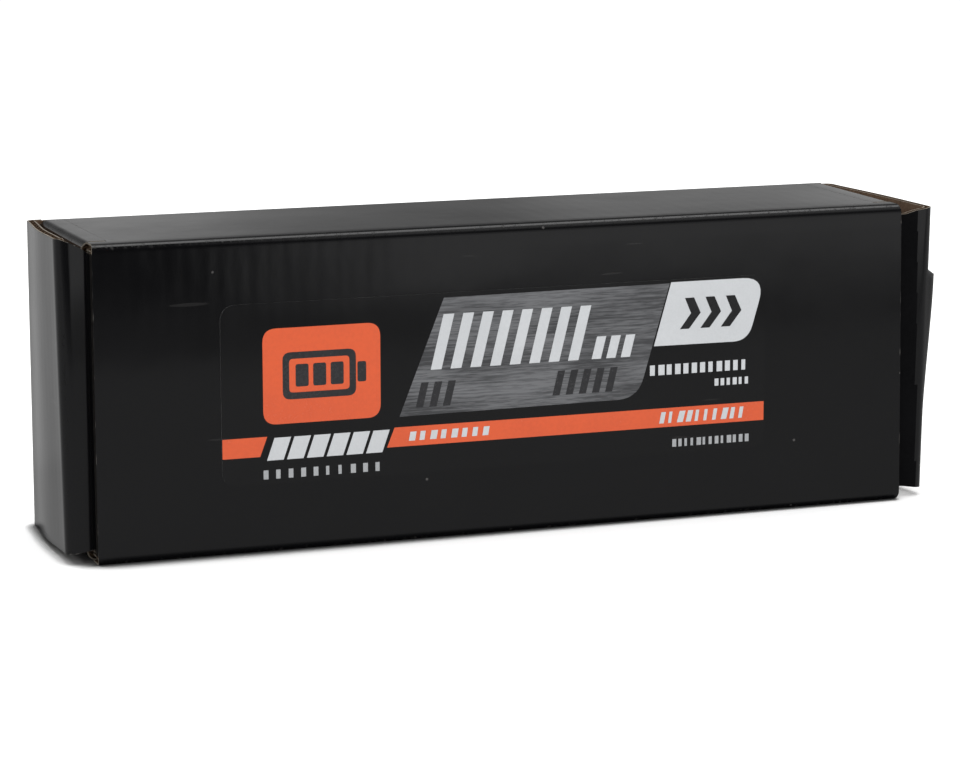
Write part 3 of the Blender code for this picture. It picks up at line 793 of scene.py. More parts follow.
@dataclass(frozen=True)
class Board:
    """Corrugated board: two liners, with the fluted paper between them set back at a cut edge."""

    thickness: float = 1.5 * MM
    liner: float = 0.27 * MM
    recess: float = 1.3 * MM
    shut: float = 0.04 * MM  # the recess where two pieces of one sheet meet
    flute_pitch: float = 3.2 * MM
    flute_paper: float = 0.17 * MM
    flute_inset: float = 0.25 * MM
    flute_rise: float = 0.36 * MM
    crease_width: float = 0.8 * MM
    edge_width: float = 0.35 * MM

    def mesh(self, name: str, line: BentLine, low: np.ndarray, high: np.ndarray, stations: np.ndarray,
             place: Callable[[np.ndarray], np.ndarray], open_start: bool, open_end: bool,
             flutes_along: bool, spread: int) -> bpy.types.Mesh:
        """Builds a closed sheet that follows a bent line and is as wide as low to high.

        Args:
            name: The mesh's name.
            line: The line of the board's middle.
            low: The board's lower edge at each station.
            high: The board's upper edge at each station.
            stations: The distances along the line.
            place: Turns (across, out, width) places of the line's plane into the frame's.
            open_start: Whether the line's start is a cut edge.
            open_end: Whether its end is one.
            flutes_along: Whether the flutes follow the line, and not the width.
            spread: How many faces the width is split into, away from its edges.

        Returns:
            The mesh, with its coat, liner, cut and fluting material slots.
        """
        edge_steps = [0.0, 0.25 * MM, 0.7 * MM, 1.6 * MM, 3.2 * MM]
        half = self.thickness / 2
        core = half - self.liner
        found = [line.at(along) for along in stations]
        middle = np.array([pair[0] for pair in found])
        direction = np.array([pair[1] for pair in found])
        outer = np.stack([-direction[:, 1], direction[:, 0]], 1) * line.outward
        width = (high - low)[:, None]
        inner_share = np.linspace(0, 1, spread + 1)[1:-1][None, :]
        reach = edge_steps[-1]
        near = np.array(edge_steps)[None, :] + np.zeros_like(width)
        between = reach + (width - 2 * reach) * inner_share
        across = np.concatenate([near, between, width - near[:, ::-1]], 1)
        columns = across.shape[1]
        rows = len(stations)
        points: list[np.ndarray] = []
        facts: list[np.ndarray] = []
        from_crease = np.min(np.abs(stations[:, None] - np.array(line.creases or [1e3])[None, :]), 1)

        def add(offset: float, widths: np.ndarray, back: np.ndarray | float = 0.0,
                picked: slice = slice(None)) -> np.ndarray:
            """Adds a grid of points.

            Args:
                offset: How far outside the board's middle it lies.
                widths: The points' places across the board, a row for each station.
                back: How far along the line it is moved.
                picked: The stations.

            Returns:
                The points' numbers.
            """
            base = middle[picked] + outer[picked] * offset + direction[picked] * back
            grid = np.repeat(base[:, None, :], widths.shape[1], 1)
            start = sum(len(block) for block in points)
            points.append(np.concatenate([grid, widths[:, :, None]], 2).reshape(-1, 3))
            to_edge = np.minimum(widths - low[picked, None], high[picked, None] - widths)
            crease = np.exp(-((from_crease[picked, None] / self.crease_width) ** 2)) * 0.8
            worn = np.maximum(crease, np.exp(-((to_edge / self.edge_width) ** 2)))
            flute = widths if flutes_along else stations[picked, None] + np.zeros_like(widths)
            facts.append(np.stack([worn.ravel(), flute.ravel()], 1))
            return np.arange(start, start + widths.size).reshape(widths.shape)

        upper = add(half, low[:, None] + across)
        under = add(-half, low[:, None] + across)
        depth = np.full(rows, self.recess)
        depth[[0, -1]] = self.shut
        depth[(high - low) < 4 * self.recess] = self.shut
        side_widths = {
            "low": np.stack([low, low + depth, low + depth, low], 1),
            "high": np.stack([high, high - depth, high - depth, high], 1),
        }
        sides = {}
        for edge, widths in side_widths.items():
            strips = [add(offset, widths[:, [k]]) for k, offset in enumerate((core, core, -core, -core))]
            sides[edge] = np.concatenate(strips, 1)
        faces: list[tuple[int, ...]] = []
        slots: list[int] = []

        def skin(grid: np.ndarray, slot_numbers: Sequence[int] | int) -> None:
            """Adds the faces of a grid.

            Args:
                grid: The points' numbers.
                slot_numbers: The faces' material slot, or one for each column.
            """
            for row in range(grid.shape[0] - 1):
                for column in range(grid.shape[1] - 1):
                    faces.append((grid[row, column], grid[row + 1, column],
                                  grid[row + 1, column + 1], grid[row, column + 1]))
                    slots.append(slot_numbers if isinstance(slot_numbers, int) else slot_numbers[column])

        cut_slots = (2, 3, 3, 3, 2)
        skin(upper, 0)
        skin(under, 1)
        skin(np.concatenate([upper[:, :1], sides["low"], under[:, :1]], 1), cut_slots)
        skin(np.concatenate([upper[:, -1:], sides["high"], under[:, -1:]], 1), cut_slots)
        for end, is_open, sign in ((0, open_start, 1.0), (rows - 1, open_end, -1.0)):
            picked = slice(end, end + 1)
            inset = sign * (self.recess if is_open else self.shut)
            inner_widths = (low[end] + across[end])[None, 1:-1]
            cap = [upper[end]]
            for k, (offset, back) in enumerate(((core, 0.0), (core, inset), (-core, inset), (-core, 0.0))):
                row = add(offset, inner_widths, back, picked)[0]
                cap.append(np.concatenate([sides["low"][end, [k]], row, sides["high"][end, [k]]]))
            cap.append(under[end])
            skin(np.array(cap).T, cut_slots if is_open else 0)
        mesh = bpy.data.meshes.new(name)
        placed = place(np.concatenate(points))
        mesh.from_pydata(placed.tolist(), [], [tuple(int(number) for number in face) for face in faces])
        mesh.polygons.foreach_set("material_index", np.array(slots, np.int32))
        values = np.concatenate(facts).astype(np.float32)
        for column, key in enumerate(("crease", "flute")):
            mesh.attributes.new(key, "FLOAT", "POINT").data.foreach_set("value", values[:, column])
        for finish in (COAT, KRAFT, CUT_PAPER, FLUTE_PAPER):
            mesh.materials.append(finish.material())
        close_up(mesh, merge=1e-9, sharp=radians(40))
        return mesh

    def end_fluting(self, name: str, line: BentLine, low: np.ndarray, high: np.ndarray,
                    stations: np.ndarray, place: Callable[[np.ndarray], np.ndarray]) -> bpy.types.Mesh:
        """Builds the wavy paper of a flap, a little inside its edges, as fluting does."""
        return self.fluting(f"{name}_fluting", line, low + self.flute_inset, high - self.flute_inset,
                            stations, place, self.flute_pitch, self.flute_rise)

    def fluting(self, name: str, line: BentLine, low: np.ndarray, high: np.ndarray, stations: np.ndarray,
                place: Callable[[np.ndarray], np.ndarray], pitch: float, rise: float) -> bpy.types.Mesh:
        """Builds the wavy paper between the liners.

        Args:
            name: The mesh's name.
            line: The line of the board's middle.
            low: The paper's lower edge at each station.
            high: The paper's upper edge at each station.
            stations: The distances along the line.
            place: Turns (across, out, width) places into the frame's.
            pitch: The wave's length.
            rise: The wave's height above the line's middle.

        Returns:
            The mesh.
        """
        margin = 0.5 * MM
        dense = np.linspace(margin, line.length - margin, 400)
        route = np.array([line.at(along)[0] for along in dense])
        source = polyline(name, [(*point, 0.0) for point in route])
        mesh = FLUTING.apply(
            source, name, Pitch=pitch, Rise=rise, Thickness=self.flute_paper, Width=1.0,
            Finish=FLUTE_PAPER.material(),
        )

        def spread_out(places: np.ndarray) -> np.ndarray:
            """Gives each point the width that the board has there.

            Args:
                places: Places along the line, from half a width below it to half above.

            Returns:
                The frame's places.
            """
            gaps = ((places[:, None, :2] - route[None, :, :]) ** 2).sum(2)
            along = dense[np.argmin(gaps, 1)]
            bottom, top = np.interp(along, stations, low), np.interp(along, stations, high)
            share = places[:, 2] + 0.5
            return place(np.stack([places[:, 0], places[:, 1], bottom + (top - bottom) * share], 1))

        move_points(mesh, spread_out)
        close_up(mesh, merge=1e-9)
        return mesh


def joined(name: str, parts: Sequence[bpy.types.Mesh]) -> bpy.types.Object:
    """Makes one object from several meshes, which keep their materials and attributes.

    Args:
        name: The object's name.
        parts: The meshes.

    Returns:
        The object.
    """
    shape = bmesh.new()
    mesh = bpy.data.meshes.new(name)
    for part in parts:
        before = len(shape.faces)
        offset = len(mesh.materials)
        shape.from_mesh(part)
        shape.faces.ensure_lookup_table()
        for face in shape.faces[before:]:
            face.material_index += offset
        for material in part.materials:
            mesh.materials.append(material)
    shape.to_mesh(mesh)
    shape.free()
    return mesh_object(name, mesh)


def hinged(piece: bpy.types.Object, flap: str, span: np.ndarray) -> bpy.types.Object:
    """Bakes a flap's board into place and lets it stand for the flap, whose CAD part is hidden.

    Args:
        piece: The board.
        flap: The flap's CAD node, which is hidden.
        span: Where the bend starts and where it ends; not used.

    Returns:
        The board.
    """
    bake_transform(piece)
    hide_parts(flap)
    return piece


ASKEW = 0.75 * MM  # how far the right end's front and back edges stand from square
# Where a flap's bend starts and ends, as (outward, inward, width) from its crease.
CREASE_SPAN = np.array([mm(-0.9, -0.75, 0.0), mm(0.85, 1.5, 0.0)])
BOARD = Board()
FLUTING = fluting_tree()
ROW = row_tree()
CABLE = cable_tree()


# ---------------------------------------------------------------- the carton's places


def corner(node: str, end: int) -> np.ndarray:
    """A CAD node's lowest (0) or highest (1) corner."""
    return np.array(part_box(node)[end], float)


@dataclass(frozen=True)
class CartonPlan:
    """The carton's places, read from the frame."""

    half_length: float
    height: float
    front: float
    back: float
    panel_end: float  # where the back panel's and the top and bottom panels' flat parts end
    dust_end: float

    @classmethod
    def from_frame(cls) -> "CartonPlan":
        """Reads the places."""
        low, high = corner("front_panel", 0), corner("front_panel", 1)
        closure_x = JOINTS["right_closure"]["pos_m"][0]
        dust_x = JOINTS["right_top_dust_crease"]["pos_m"][0]
        back = corner("back_panel", 1)[1]
        return cls(high[0], high[2], low[1], back, closure_x - 3.6 * MM, dust_x - 3.2 * MM)


PLAN = CartonPlan.from_frame()


def turned_about(points: np.ndarray, angle: np.ndarray | float) -> np.ndarray:
    """Turns places in a closure's plane outwards about its crease, which is the plane's origin.

    Args:
        points: (outward, forward) places, one a row.
        angle: The turn, in radians, for all or for each.

    Returns:
        The turned places.
    """
    out, forward = points[..., 0], points[..., 1]
    return np.stack([out * np.cos(angle) + forward * np.sin(angle),
                     forward * np.cos(angle) - out * np.sin(angle)], -1)


def eased(value: np.ndarray, start: float, end: float) -> np.ndarray:
    """0 before start, 1 after end, and a smooth step between."""
    share = np.clip((value - start) / (end - start), 0, 1)
    return share * share * (3 - 2 * share)


def askew(places: np.ndarray) -> np.ndarray:
    """Lets the carton's right end stand a little askew towards its top.

    Args:
        places: The frame's places, one a row.

    Returns:
        The moved places.
    """
    along, depth, height = places[:, 0], places[:, 1], places[:, 2]
    share = np.clip(along / PLAN.half_length, 0, 1) ** 8 * np.clip(height / PLAN.height, 0, 1)
    return places + np.column_stack([ASKEW * share * depth / PLAN.back, np.zeros((len(places), 2))])


# ---------------------------------------------------------------- the tube


@dataclass
class CartonTube:
    """The carton's four walls: one sheet, creased round and glued inside the back panel.

    Attributes:
        crease_radius: The radius of a crease, at the board's middle.
        edge_set_back: How far the short walls' corners end before the front panel does.
        flap_front: The front edge of the dust flaps on the top and bottom walls.
        flap_back: Their back edge.
        glue_flap_y: The middle of the glue flap's board.
        glue_flap_end: The glue flap's upper edge.
        glue_flap_short: How far the glue flap's ends are cut back.
        crown: How far the top wall bows up in its middle.
        inked_from: How far past a corner the front panel's cut edge is painted black as shade.
    """

    crease_radius: float = 0.9 * MM
    edge_set_back: float = 0.3 * MM
    flap_front: float = -15.2 * MM
    flap_back: float = 17.7 * MM
    glue_flap_y: float = 17.7 * MM
    glue_flap_end: float = 13.8 * MM
    glue_flap_short: float = 4.2 * MM
    crown: float = 0.12 * MM
    inked_from: float = 2.2 * MM

    def line(self) -> BentLine:
        """The line of the tube's wall, from the back panel's lower edge round to the glue flap."""
        half = BOARD.thickness / 2
        low, high = half, PLAN.height - half
        front, back = PLAN.front + half, PLAN.back - half
        corners = [(back, 0.06 * MM), (back, high), (front, high), (front, low),
                   (self.glue_flap_y, low), (self.glue_flap_y, self.glue_flap_end)]
        return BentLine(corners, [self.crease_radius] * 4, -1)

    def ends(self, line: BentLine) -> tuple[list[float], list[float]]:
        """How far the sheet reaches from the middle, at marked distances along its line.

        Args:
            line: The wall's line.

        Returns:
            The distances and the reaches.
        """
        runs = [piece for piece in line.pieces if piece[0] == "run"]
        back, top, front, bottom, glue = (run[1] for run in runs)
        half = BOARD.thickness / 2
        corner_end = PLAN.half_length - self.edge_set_back
        top_start = PLAN.back - half - self.crease_radius
        bottom_start = PLAN.front + half + self.crease_radius
        flap_start, flap_end = top + top_start - self.flap_back, top + top_start - self.flap_front
        lower_start = bottom + self.flap_front - bottom_start
        lower_end = glue - self.crease_radius * pi / 2 - JOG
        back_end, front_end = (run[1] + run[2] for run in (runs[0], runs[2]))
        marks = {
            back: PLAN.panel_end, back_end: PLAN.panel_end, back_end + JOG: corner_end,
            flap_start: corner_end, flap_start + JOG: PLAN.dust_end, flap_end: PLAN.dust_end,
            flap_end + JOG: corner_end, front - self.crease_radius * pi / 2: corner_end,
            front: PLAN.half_length, front_end: PLAN.half_length, bottom: corner_end,
            lower_start - JOG: corner_end, lower_start: PLAN.dust_end, lower_end: PLAN.dust_end,
            glue: PLAN.dust_end, line.length: PLAN.half_length - self.glue_flap_short - 2 * MM,
        }
        return list(marks), list(marks.values())

    def place(self, points: np.ndarray) -> np.ndarray:
        """Turns (depth, height, length) into the frame's places, with the top wall's crown.

        Args:
            points: Places of the wall's plane, one a row.

        Returns:
            The frame's places.
        """
        depth, height, length = points[:, 0], points[:, 1], points[:, 2]
        across = np.clip(depth / (PLAN.back - 1.5 * MM), -1, 1)
        is_top = eased(height, PLAN.height - 2.2 * MM, PLAN.height - 1.6 * MM)
        lengthways = 1 - np.clip(np.abs(length) / PLAN.dust_end, 0, 1) ** 8
        bow = self.crown * np.cos(across * pi / 2) ** 1.2 * lengthways * is_top
        return askew(np.stack([length, depth, height + bow], 1))

    def ink_edges(self, sheet: bpy.types.Mesh) -> None:
        """Paints shade onto the front panel's cut edges and the seams where other boards take over, in black.

        Args:
            sheet: The tube's sheet, with its material slots.
        """
        sheet.materials.append(PAINTED_EDGE_SHADE.material())
        low, high = self.inked_from, PLAN.height - self.inked_from
        for face in sheet.polygons:
            along, depth, up = face.center
            is_front = depth < PLAN.front + self.inked_from and low < up < high
            seam_end = max(PLAN.dust_end, PLAN.panel_end if depth > 0 else 0) + 1 * MM
            is_seam = abs(along) < seam_end
            # Cut faces along the front panel and at the seams get painted shade in black.
            if face.material_index in (2, 3) and (is_front or is_seam and abs(face.normal.x) > 0.5):
                face.material_index = 4

    def build(self) -> bpy.types.Object:
        """Builds the sheet with its fluting at both ends.

        Returns:
            The finished piece.
        """
        line = self.line()
        marks, reaches = self.ends(line)
        stations = line.stations(3 * MM, marks)
        reach = np.interp(stations, marks, reaches)
        sheet = BOARD.mesh("carton_tube", line, -reach, reach, stations, self.place,
                           open_start=True, open_end=True, flutes_along=True, spread=20)
        self.ink_edges(sheet)
        strips = [
            BOARD.fluting(f"carton_tube_fluting_{side.label}", line, *sorted_pair(side, reach), stations,
                          self.place, pitch=23 * MM, rise=0.22 * MM)
            for side in Side
        ]
        piece = joined("carton_tube", [sheet, *strips])
        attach(piece, "carton")
        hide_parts("front_panel", "top_panel", "back_panel", "bottom_panel", "glue_flap")
        return piece


def sorted_pair(side: Side, reach: np.ndarray) -> tuple[np.ndarray, np.ndarray]:
    """The lower and upper edge of a strip of fluting just inside one end of the tube."""
    outer, inner = reach - BOARD.flute_inset, reach - 4 * MM
    return (inner, outer) if side is Side.RIGHT else (-outer, -inner)


# ---------------------------------------------------------------- the closures


@dataclass
class Closure:
    """An end panel with its tuck flap, a little twisted as it stands ajar.

    Attributes:
        side: The carton's end.
        twist: How much further open the top is than the middle.
        bow: How far the panel's middle stands out.
        foot: The panel's lower edge at the crease and at the fold.
        head: The panel's upper edge at the crease and at the fold.
        tuck_low: The tuck flap's lower edge, by distance from the fold.
        tuck_high: The tuck flap's upper edge, by the same distances.
        matt_from: How far past the fold the tuck flap is painted matt black as shade, at its foot and its
            head.
        bulge: How far the panel is pushed out behind its fold, where the flap's slit lock holds it.
    """

    side: Side
    twist: float
    bow: float
    foot: Point2
    head: Point2
    tuck_low: tuple[float, ...]
    tuck_high: tuple[float, ...]
    matt_from: Point2
    bulge: float = 0.0
    bulge_low: float = 13 * MM
    bulge_high: float = 44.5 * MM
    tuck_marks: tuple[float, ...] = mm(0.0, 3.2, 5.0, 8.5, 12.6)
    root_length: float = 1.9 * MM  # as far as the board is still as wide as the back panel
    seam: float = 33.2 * MM  # where the end panel's board passes to the tuck flap's
    tuck_crease: float = 35.2 * MM
    tuck_lean: float = radians(10)
    tuck_length: float = 11.5 * MM
    crease_radius: float = 1.0 * MM
    fold_radius: float = 1.35 * MM
    rest: float = field(init=False)
    crease: np.ndarray = field(init=False)

    def __post_init__(self) -> None:
        """Reads the closure's crease and the angle at which it stands."""
        joint = JOINTS[f"{self.side.label}_closure"]
        self.rest = -radians(joint["range_deg"][0])
        self.crease = np.array(joint["pos_m"], float)

    def place(self, points: np.ndarray) -> np.ndarray:
        """Turns (outward, forward, height) into the frame's places, with the twist and the bulges.

        Args:
            points: Places about the crease, one a row.

        Returns:
            The frame's places.
        """
        flat, height = points[:, :2], points[:, 2]
        forward = flat[:, 1]
        middle = PLAN.height / 2
        share = (height - middle) / middle
        swung = turned_about(flat, self.twist * share * eased(forward, 0.5 * MM, 6 * MM))
        span = np.clip(forward / self.tuck_crease, 0, 1)
        push = self.bow * np.sin(pi * span) ** 2
        rising = eased(height, self.bulge_low, self.bulge_high) * (height < self.bulge_high)
        behind = eased(forward, 22 * MM, 33.6 * MM) * (1 - eased(forward, 34.6 * MM, 35.9 * MM))
        push = push + self.bulge * rising * behind
        normal = turned_about(np.array([[1.0, 0.0]]), self.rest)[0]
        moved = swung + push[:, None] * normal
        along_x = self.side.value * (abs(self.crease[0]) + moved[:, 0])
        return askew(np.stack([along_x, self.crease[1] - moved[:, 1], height], 1))

    def panel_line(self) -> BentLine:
        """From the back panel's end round the crease and along the end panel."""
        half = BOARD.thickness / 2
        back = (half * sin(self.rest) - half) / cos(self.rest)
        meeting = turned_about(np.array([half, back]), self.rest)
        seam = turned_about(np.array([half, self.seam]), self.rest)
        start = (PLAN.panel_end - abs(self.crease[0]), -half)
        return BentLine([start, tuple(meeting), tuple(seam)], [self.crease_radius], -1)

    def tuck_line(self) -> BentLine:
        """From the end panel's last part round the fold and along the tuck flap."""
        half = BOARD.thickness / 2
        ahead = np.array([-cos(self.tuck_lean), -sin(self.tuck_lean)])
        outward = np.array([ahead[1], -ahead[0]])
        root = np.array([0.0, self.tuck_crease]) + half * outward
        fold = root - ahead * (half - root[0]) / -ahead[0]
        places = np.array([(half, self.seam), fold, root + ahead * self.tuck_length])
        return BentLine([tuple(place) for place in turned_about(places, self.rest)], [self.fold_radius], -1)

    def edges(self, along: np.ndarray, first: float, last: float) -> tuple[np.ndarray, np.ndarray]:
        """The end panel's lower and upper edge.

        Args:
            along: Distances from the crease towards the fold.
            first: The distance at the crease.
            last: The distance at the fold.

        Returns:
            The lower and the upper edge at each distance.
        """
        share = np.clip((along - first) / (last - first), 0, 1)
        low = self.foot[0] + (self.foot[1] - self.foot[0]) * share
        high = self.head[0] + (self.head[1] - self.head[0]) * share
        return low, high

    def build_panel(self) -> bpy.types.Object:
        """Builds the end panel with its crease on the back panel.

        Returns:
            The finished piece.
        """
        line = self.panel_line()
        name = f"{self.side.label}_end_board"
        stations = line.stations(1.5 * MM, [self.root_length, self.root_length + JOG])
        low, high = self.edges(stations, line.creases[0], line.length + 3 * MM)
        in_root = stations <= self.root_length
        low = np.where(in_root, JOG, low)
        high = np.where(in_root, PLAN.height - BOARD.thickness / 2 - 0.9 * MM, high)
        sheet = BOARD.mesh(name, line, low, high, stations, self.place,
                           open_start=False, open_end=False, flutes_along=False, spread=48)
        waves = BOARD.end_fluting(name, line, low, high, stations, self.place)
        panel = f"{self.side.label}_end_panel"
        return hinged(joined(name, [sheet, waves]), panel, self.place(CREASE_SPAN))

    def leave_matt(self, sheet: bpy.types.Mesh) -> None:
        """Paints shade on the tuck flap's part that goes into the tube, as a matt black coat.

        Args:
            sheet: The tuck flap's sheet, with its material slots.
        """
        sheet.materials.append(TUCK_SHADE_COAT.material())
        reach = turned_about(np.array([BOARD.thickness, self.tuck_crease + BOARD.thickness]), self.rest)
        for face in sheet.polygons:
            height = face.center.z
            fold = self.place(np.array([[*reach, height]]))[0, 0]
            inset = np.interp(height, (0, PLAN.height), self.matt_from)
            if face.material_index == 0 and abs(fold) - abs(face.center.x) > inset:
                face.material_index = 4

    def build_tuck(self) -> bpy.types.Object:
        """Builds the tuck flap with its fold on the end panel.

        Returns:
            The finished piece.
        """
        line = self.tuck_line()
        name = f"{self.side.label}_tuck_board"
        fold = line.creases[0]
        fine = np.arange(min(self.matt_from) - 0.2 * MM, max(self.matt_from) + 0.3 * MM, 0.2 * MM)
        stations = line.stations(0.8 * MM, [fold + mark for mark in (*self.tuck_marks[1:-1], *fine)])
        low, high = self.edges(stations - fold, -self.tuck_crease, 0.0)
        past = stations - fold
        low = np.where(past > 0, np.interp(past, self.tuck_marks, self.tuck_low), low)
        high = np.where(past > 0, np.interp(past, self.tuck_marks, self.tuck_high), high)
        sheet = BOARD.mesh(name, line, low, high, stations, self.place,
                           open_start=False, open_end=True, flutes_along=False, spread=48)
        self.leave_matt(sheet)
        waves = BOARD.end_fluting(name, line, low, high, stations, self.place)
        marks = turned_about(np.array([mm(0.75, 34.3), mm(-0.9, 35.8)]), self.rest)
        span = self.place(np.column_stack([marks, [PLAN.height / 2] * 2]))
        label = self.side.label
        return hinged(joined(name, [sheet, waves]), f"{label}_tuck_flap", span)

    def build(self) -> list[bpy.types.Object]:
        """Builds both boards."""
        return [self.build_panel(), self.build_tuck()]


@dataclass
class DustFlap:
    """A dust flap with its crease on the top or the bottom panel.

    Attributes:
        side: The carton's end.
        level: The wall that the flap hangs from.
        length: From the crease to the flap's tip.
        front_edge: The flap's edge beside the front panel.
        back_edge: Its edge beside the back panel.
        root_back: The back edge of the bottom wall at the crease.
        relief: How far the flap tapers away from the closure's crease.
        nip: How much of the tip's front corner is cut off.
    """

    side: Side
    level: Level
    length: float = 25 * MM
    front_edge: float = -14.4 * MM
    back_edge: float = 17.7 * MM
    root_back: float = 16.3 * MM
    relief: float = 12.2 * MM
    nip: float = 1.5 * MM
    crease_radius: float = 1.0 * MM

    def place(self, points: np.ndarray) -> np.ndarray:
        """Turns (outward, inward, depth) into the frame's places.

        Args:
            points: Places about the crease, one a row.

        Returns:
            The frame's places.
        """
        crease = JOINTS[f"{self.side.label}_{self.level.label}_dust_crease"]["pos_m"]
        along_x = self.side.value * (abs(crease[0]) + points[:, 0])
        return askew(np.stack([along_x, points[:, 2], crease[2] - self.level.value * points[:, 1]], 1))

    def line(self) -> BentLine:
        """From the wall's end round the crease and along the flap."""
        half = BOARD.thickness / 2
        rest = -radians(JOINTS[f"{self.side.label}_closure"]["range_deg"][0]) / 2
        back = (half * sin(rest) - half) / cos(rest)
        meeting = turned_about(np.array([half, back]), rest)
        tip = turned_about(np.array([half, self.length]), rest)
        root = (PLAN.dust_end - abs(JOINTS[f"{self.side.label}_top_dust_crease"]["pos_m"][0]), -half)
        return BentLine([root, tuple(meeting), tuple(tip)], [self.crease_radius], -1)

    def build(self) -> bpy.types.Object:
        """Builds the flap.

        Returns:
            The finished piece.
        """
        line = self.line()
        name = f"{self.side.label}_{self.level.label}_dust_board"
        root = line.creases[0] + 1.2 * MM
        tip = line.length
        stations = line.stations(2.5 * MM, [root, root + JOG, tip - self.nip])
        wall_back = self.back_edge if self.level is Level.TOP else self.root_back
        narrow = self.back_edge - self.relief
        low = np.interp(stations, [tip - self.nip, tip], [self.front_edge, self.front_edge + self.nip])
        high = np.interp(stations, [root, root + JOG, tip], [wall_back, self.back_edge, narrow])
        sheet = BOARD.mesh(name, line, low, high, stations, self.place,
                           open_start=False, open_end=True, flutes_along=False, spread=10)
        waves = BOARD.end_fluting(name, line, low, high, stations, self.place)
        flap = f"{self.side.label}_{self.level.label}_dust_flap"
        return hinged(joined(name, [sheet, waves]), flap, self.place(CREASE_SPAN))


# ---------------------------------------------------------------- printed labels


def rounded_outline(corners: Sequence[Point2], radii: Sequence[float] | float,
                    steps: int = 7) -> list[Point2]:
    """A flat outline whose corners are arcs.

    Args:
        corners: The corners, in order.
        radii: The radius of each corner, or one for all.
        steps: How many parts an arc has.

    Returns:
        The outline's points.
    """
    count = len(corners)
    sizes = [radii] * count if isinstance(radii, (int, float)) else list(radii)
    outline: list[Point2] = []
    for index, radius in enumerate(sizes):
        here = Vector(corners[index])
        before = (Vector(corners[index - 1]) - here).normalized()
        after = (Vector(corners[(index + 1) % count]) - here).normalized()
        if radius <= 0:
            outline.append(tuple(here))
            continue
        reach = radius / tan(before.angle(after) / 2)
        for step in range(steps + 1):
            share = step / steps
            first, last = here + before * reach, here + after * reach
            point = first * (1 - share) ** 2 + here * 2 * share * (1 - share) + last * share**2
            outline.append(tuple(point))
    return outline


def slanted(left: float, low: float, width: float, height: float, lean: float = 0.0) -> list[Point2]:
    """The corners of a bar that may lean, from its lower left."""
    high = low + height
    return [(left, low), (left + width, low), (left + width + lean, high), (left + lean, high)]


def flat_solid(name: str, outlines: Sequence[Sequence[Point2]], outer_y: float, depth: float,
               finish: Finish) -> bpy.types.Mesh:
    """A thin upright plate: the first outline, less the others inside it.

    Args:
        name: The mesh's name.
        outlines: Closed outlines as (X, Z) places.
        outer_y: The plate's outer face.
        depth: The plate's thickness.
        finish: The plate's finish.

    Returns:
        The mesh.
    """
    curve = bpy.data.curves.new(name, "CURVE")
    curve.dimensions = "2D"
    curve.fill_mode = "BOTH"
    for outline in outlines:
        spline = curve.splines.new("POLY")
        spline.points.add(len(outline) - 1)
        for point, (across, up) in zip(spline.points, outline):
            point.co = (across / MM, up / MM, 0, 1)
        spline.use_cyclic_u = True
    curve.extrude = depth / MM / 2
    mesh = evaluated_mesh(mesh_object(name, curve), name)
    move_points(mesh, lambda places: np.stack(
        [places[:, 0] * MM, outer_y + depth / 2 - places[:, 2] * MM, places[:, 1] * MM], 1))
    mesh.materials.clear()
    mesh.materials.append(finish.material())
    close_up(mesh, merge=1e-8)
    return mesh


@dataclass(frozen=True)
class Row:
    """A printed row of like bars.

    Attributes:
        name: The row's name.
        bar: The first bar's left, foot, width, height and lean, in millimetres.
        count: How many bars there are.
        step: From one bar to the next, in millimetres.
        finish: The ink.
        layer: The layer of ink.
        narrowest: The least share of its width that a bar may have.
        seed: The seed of the widths.
    """

    name: str
    bar: tuple[float, ...]
    count: int
    step: float
    finish: Finish
    layer: int = 1
    narrowest: float = 1.0
    seed: int = 0


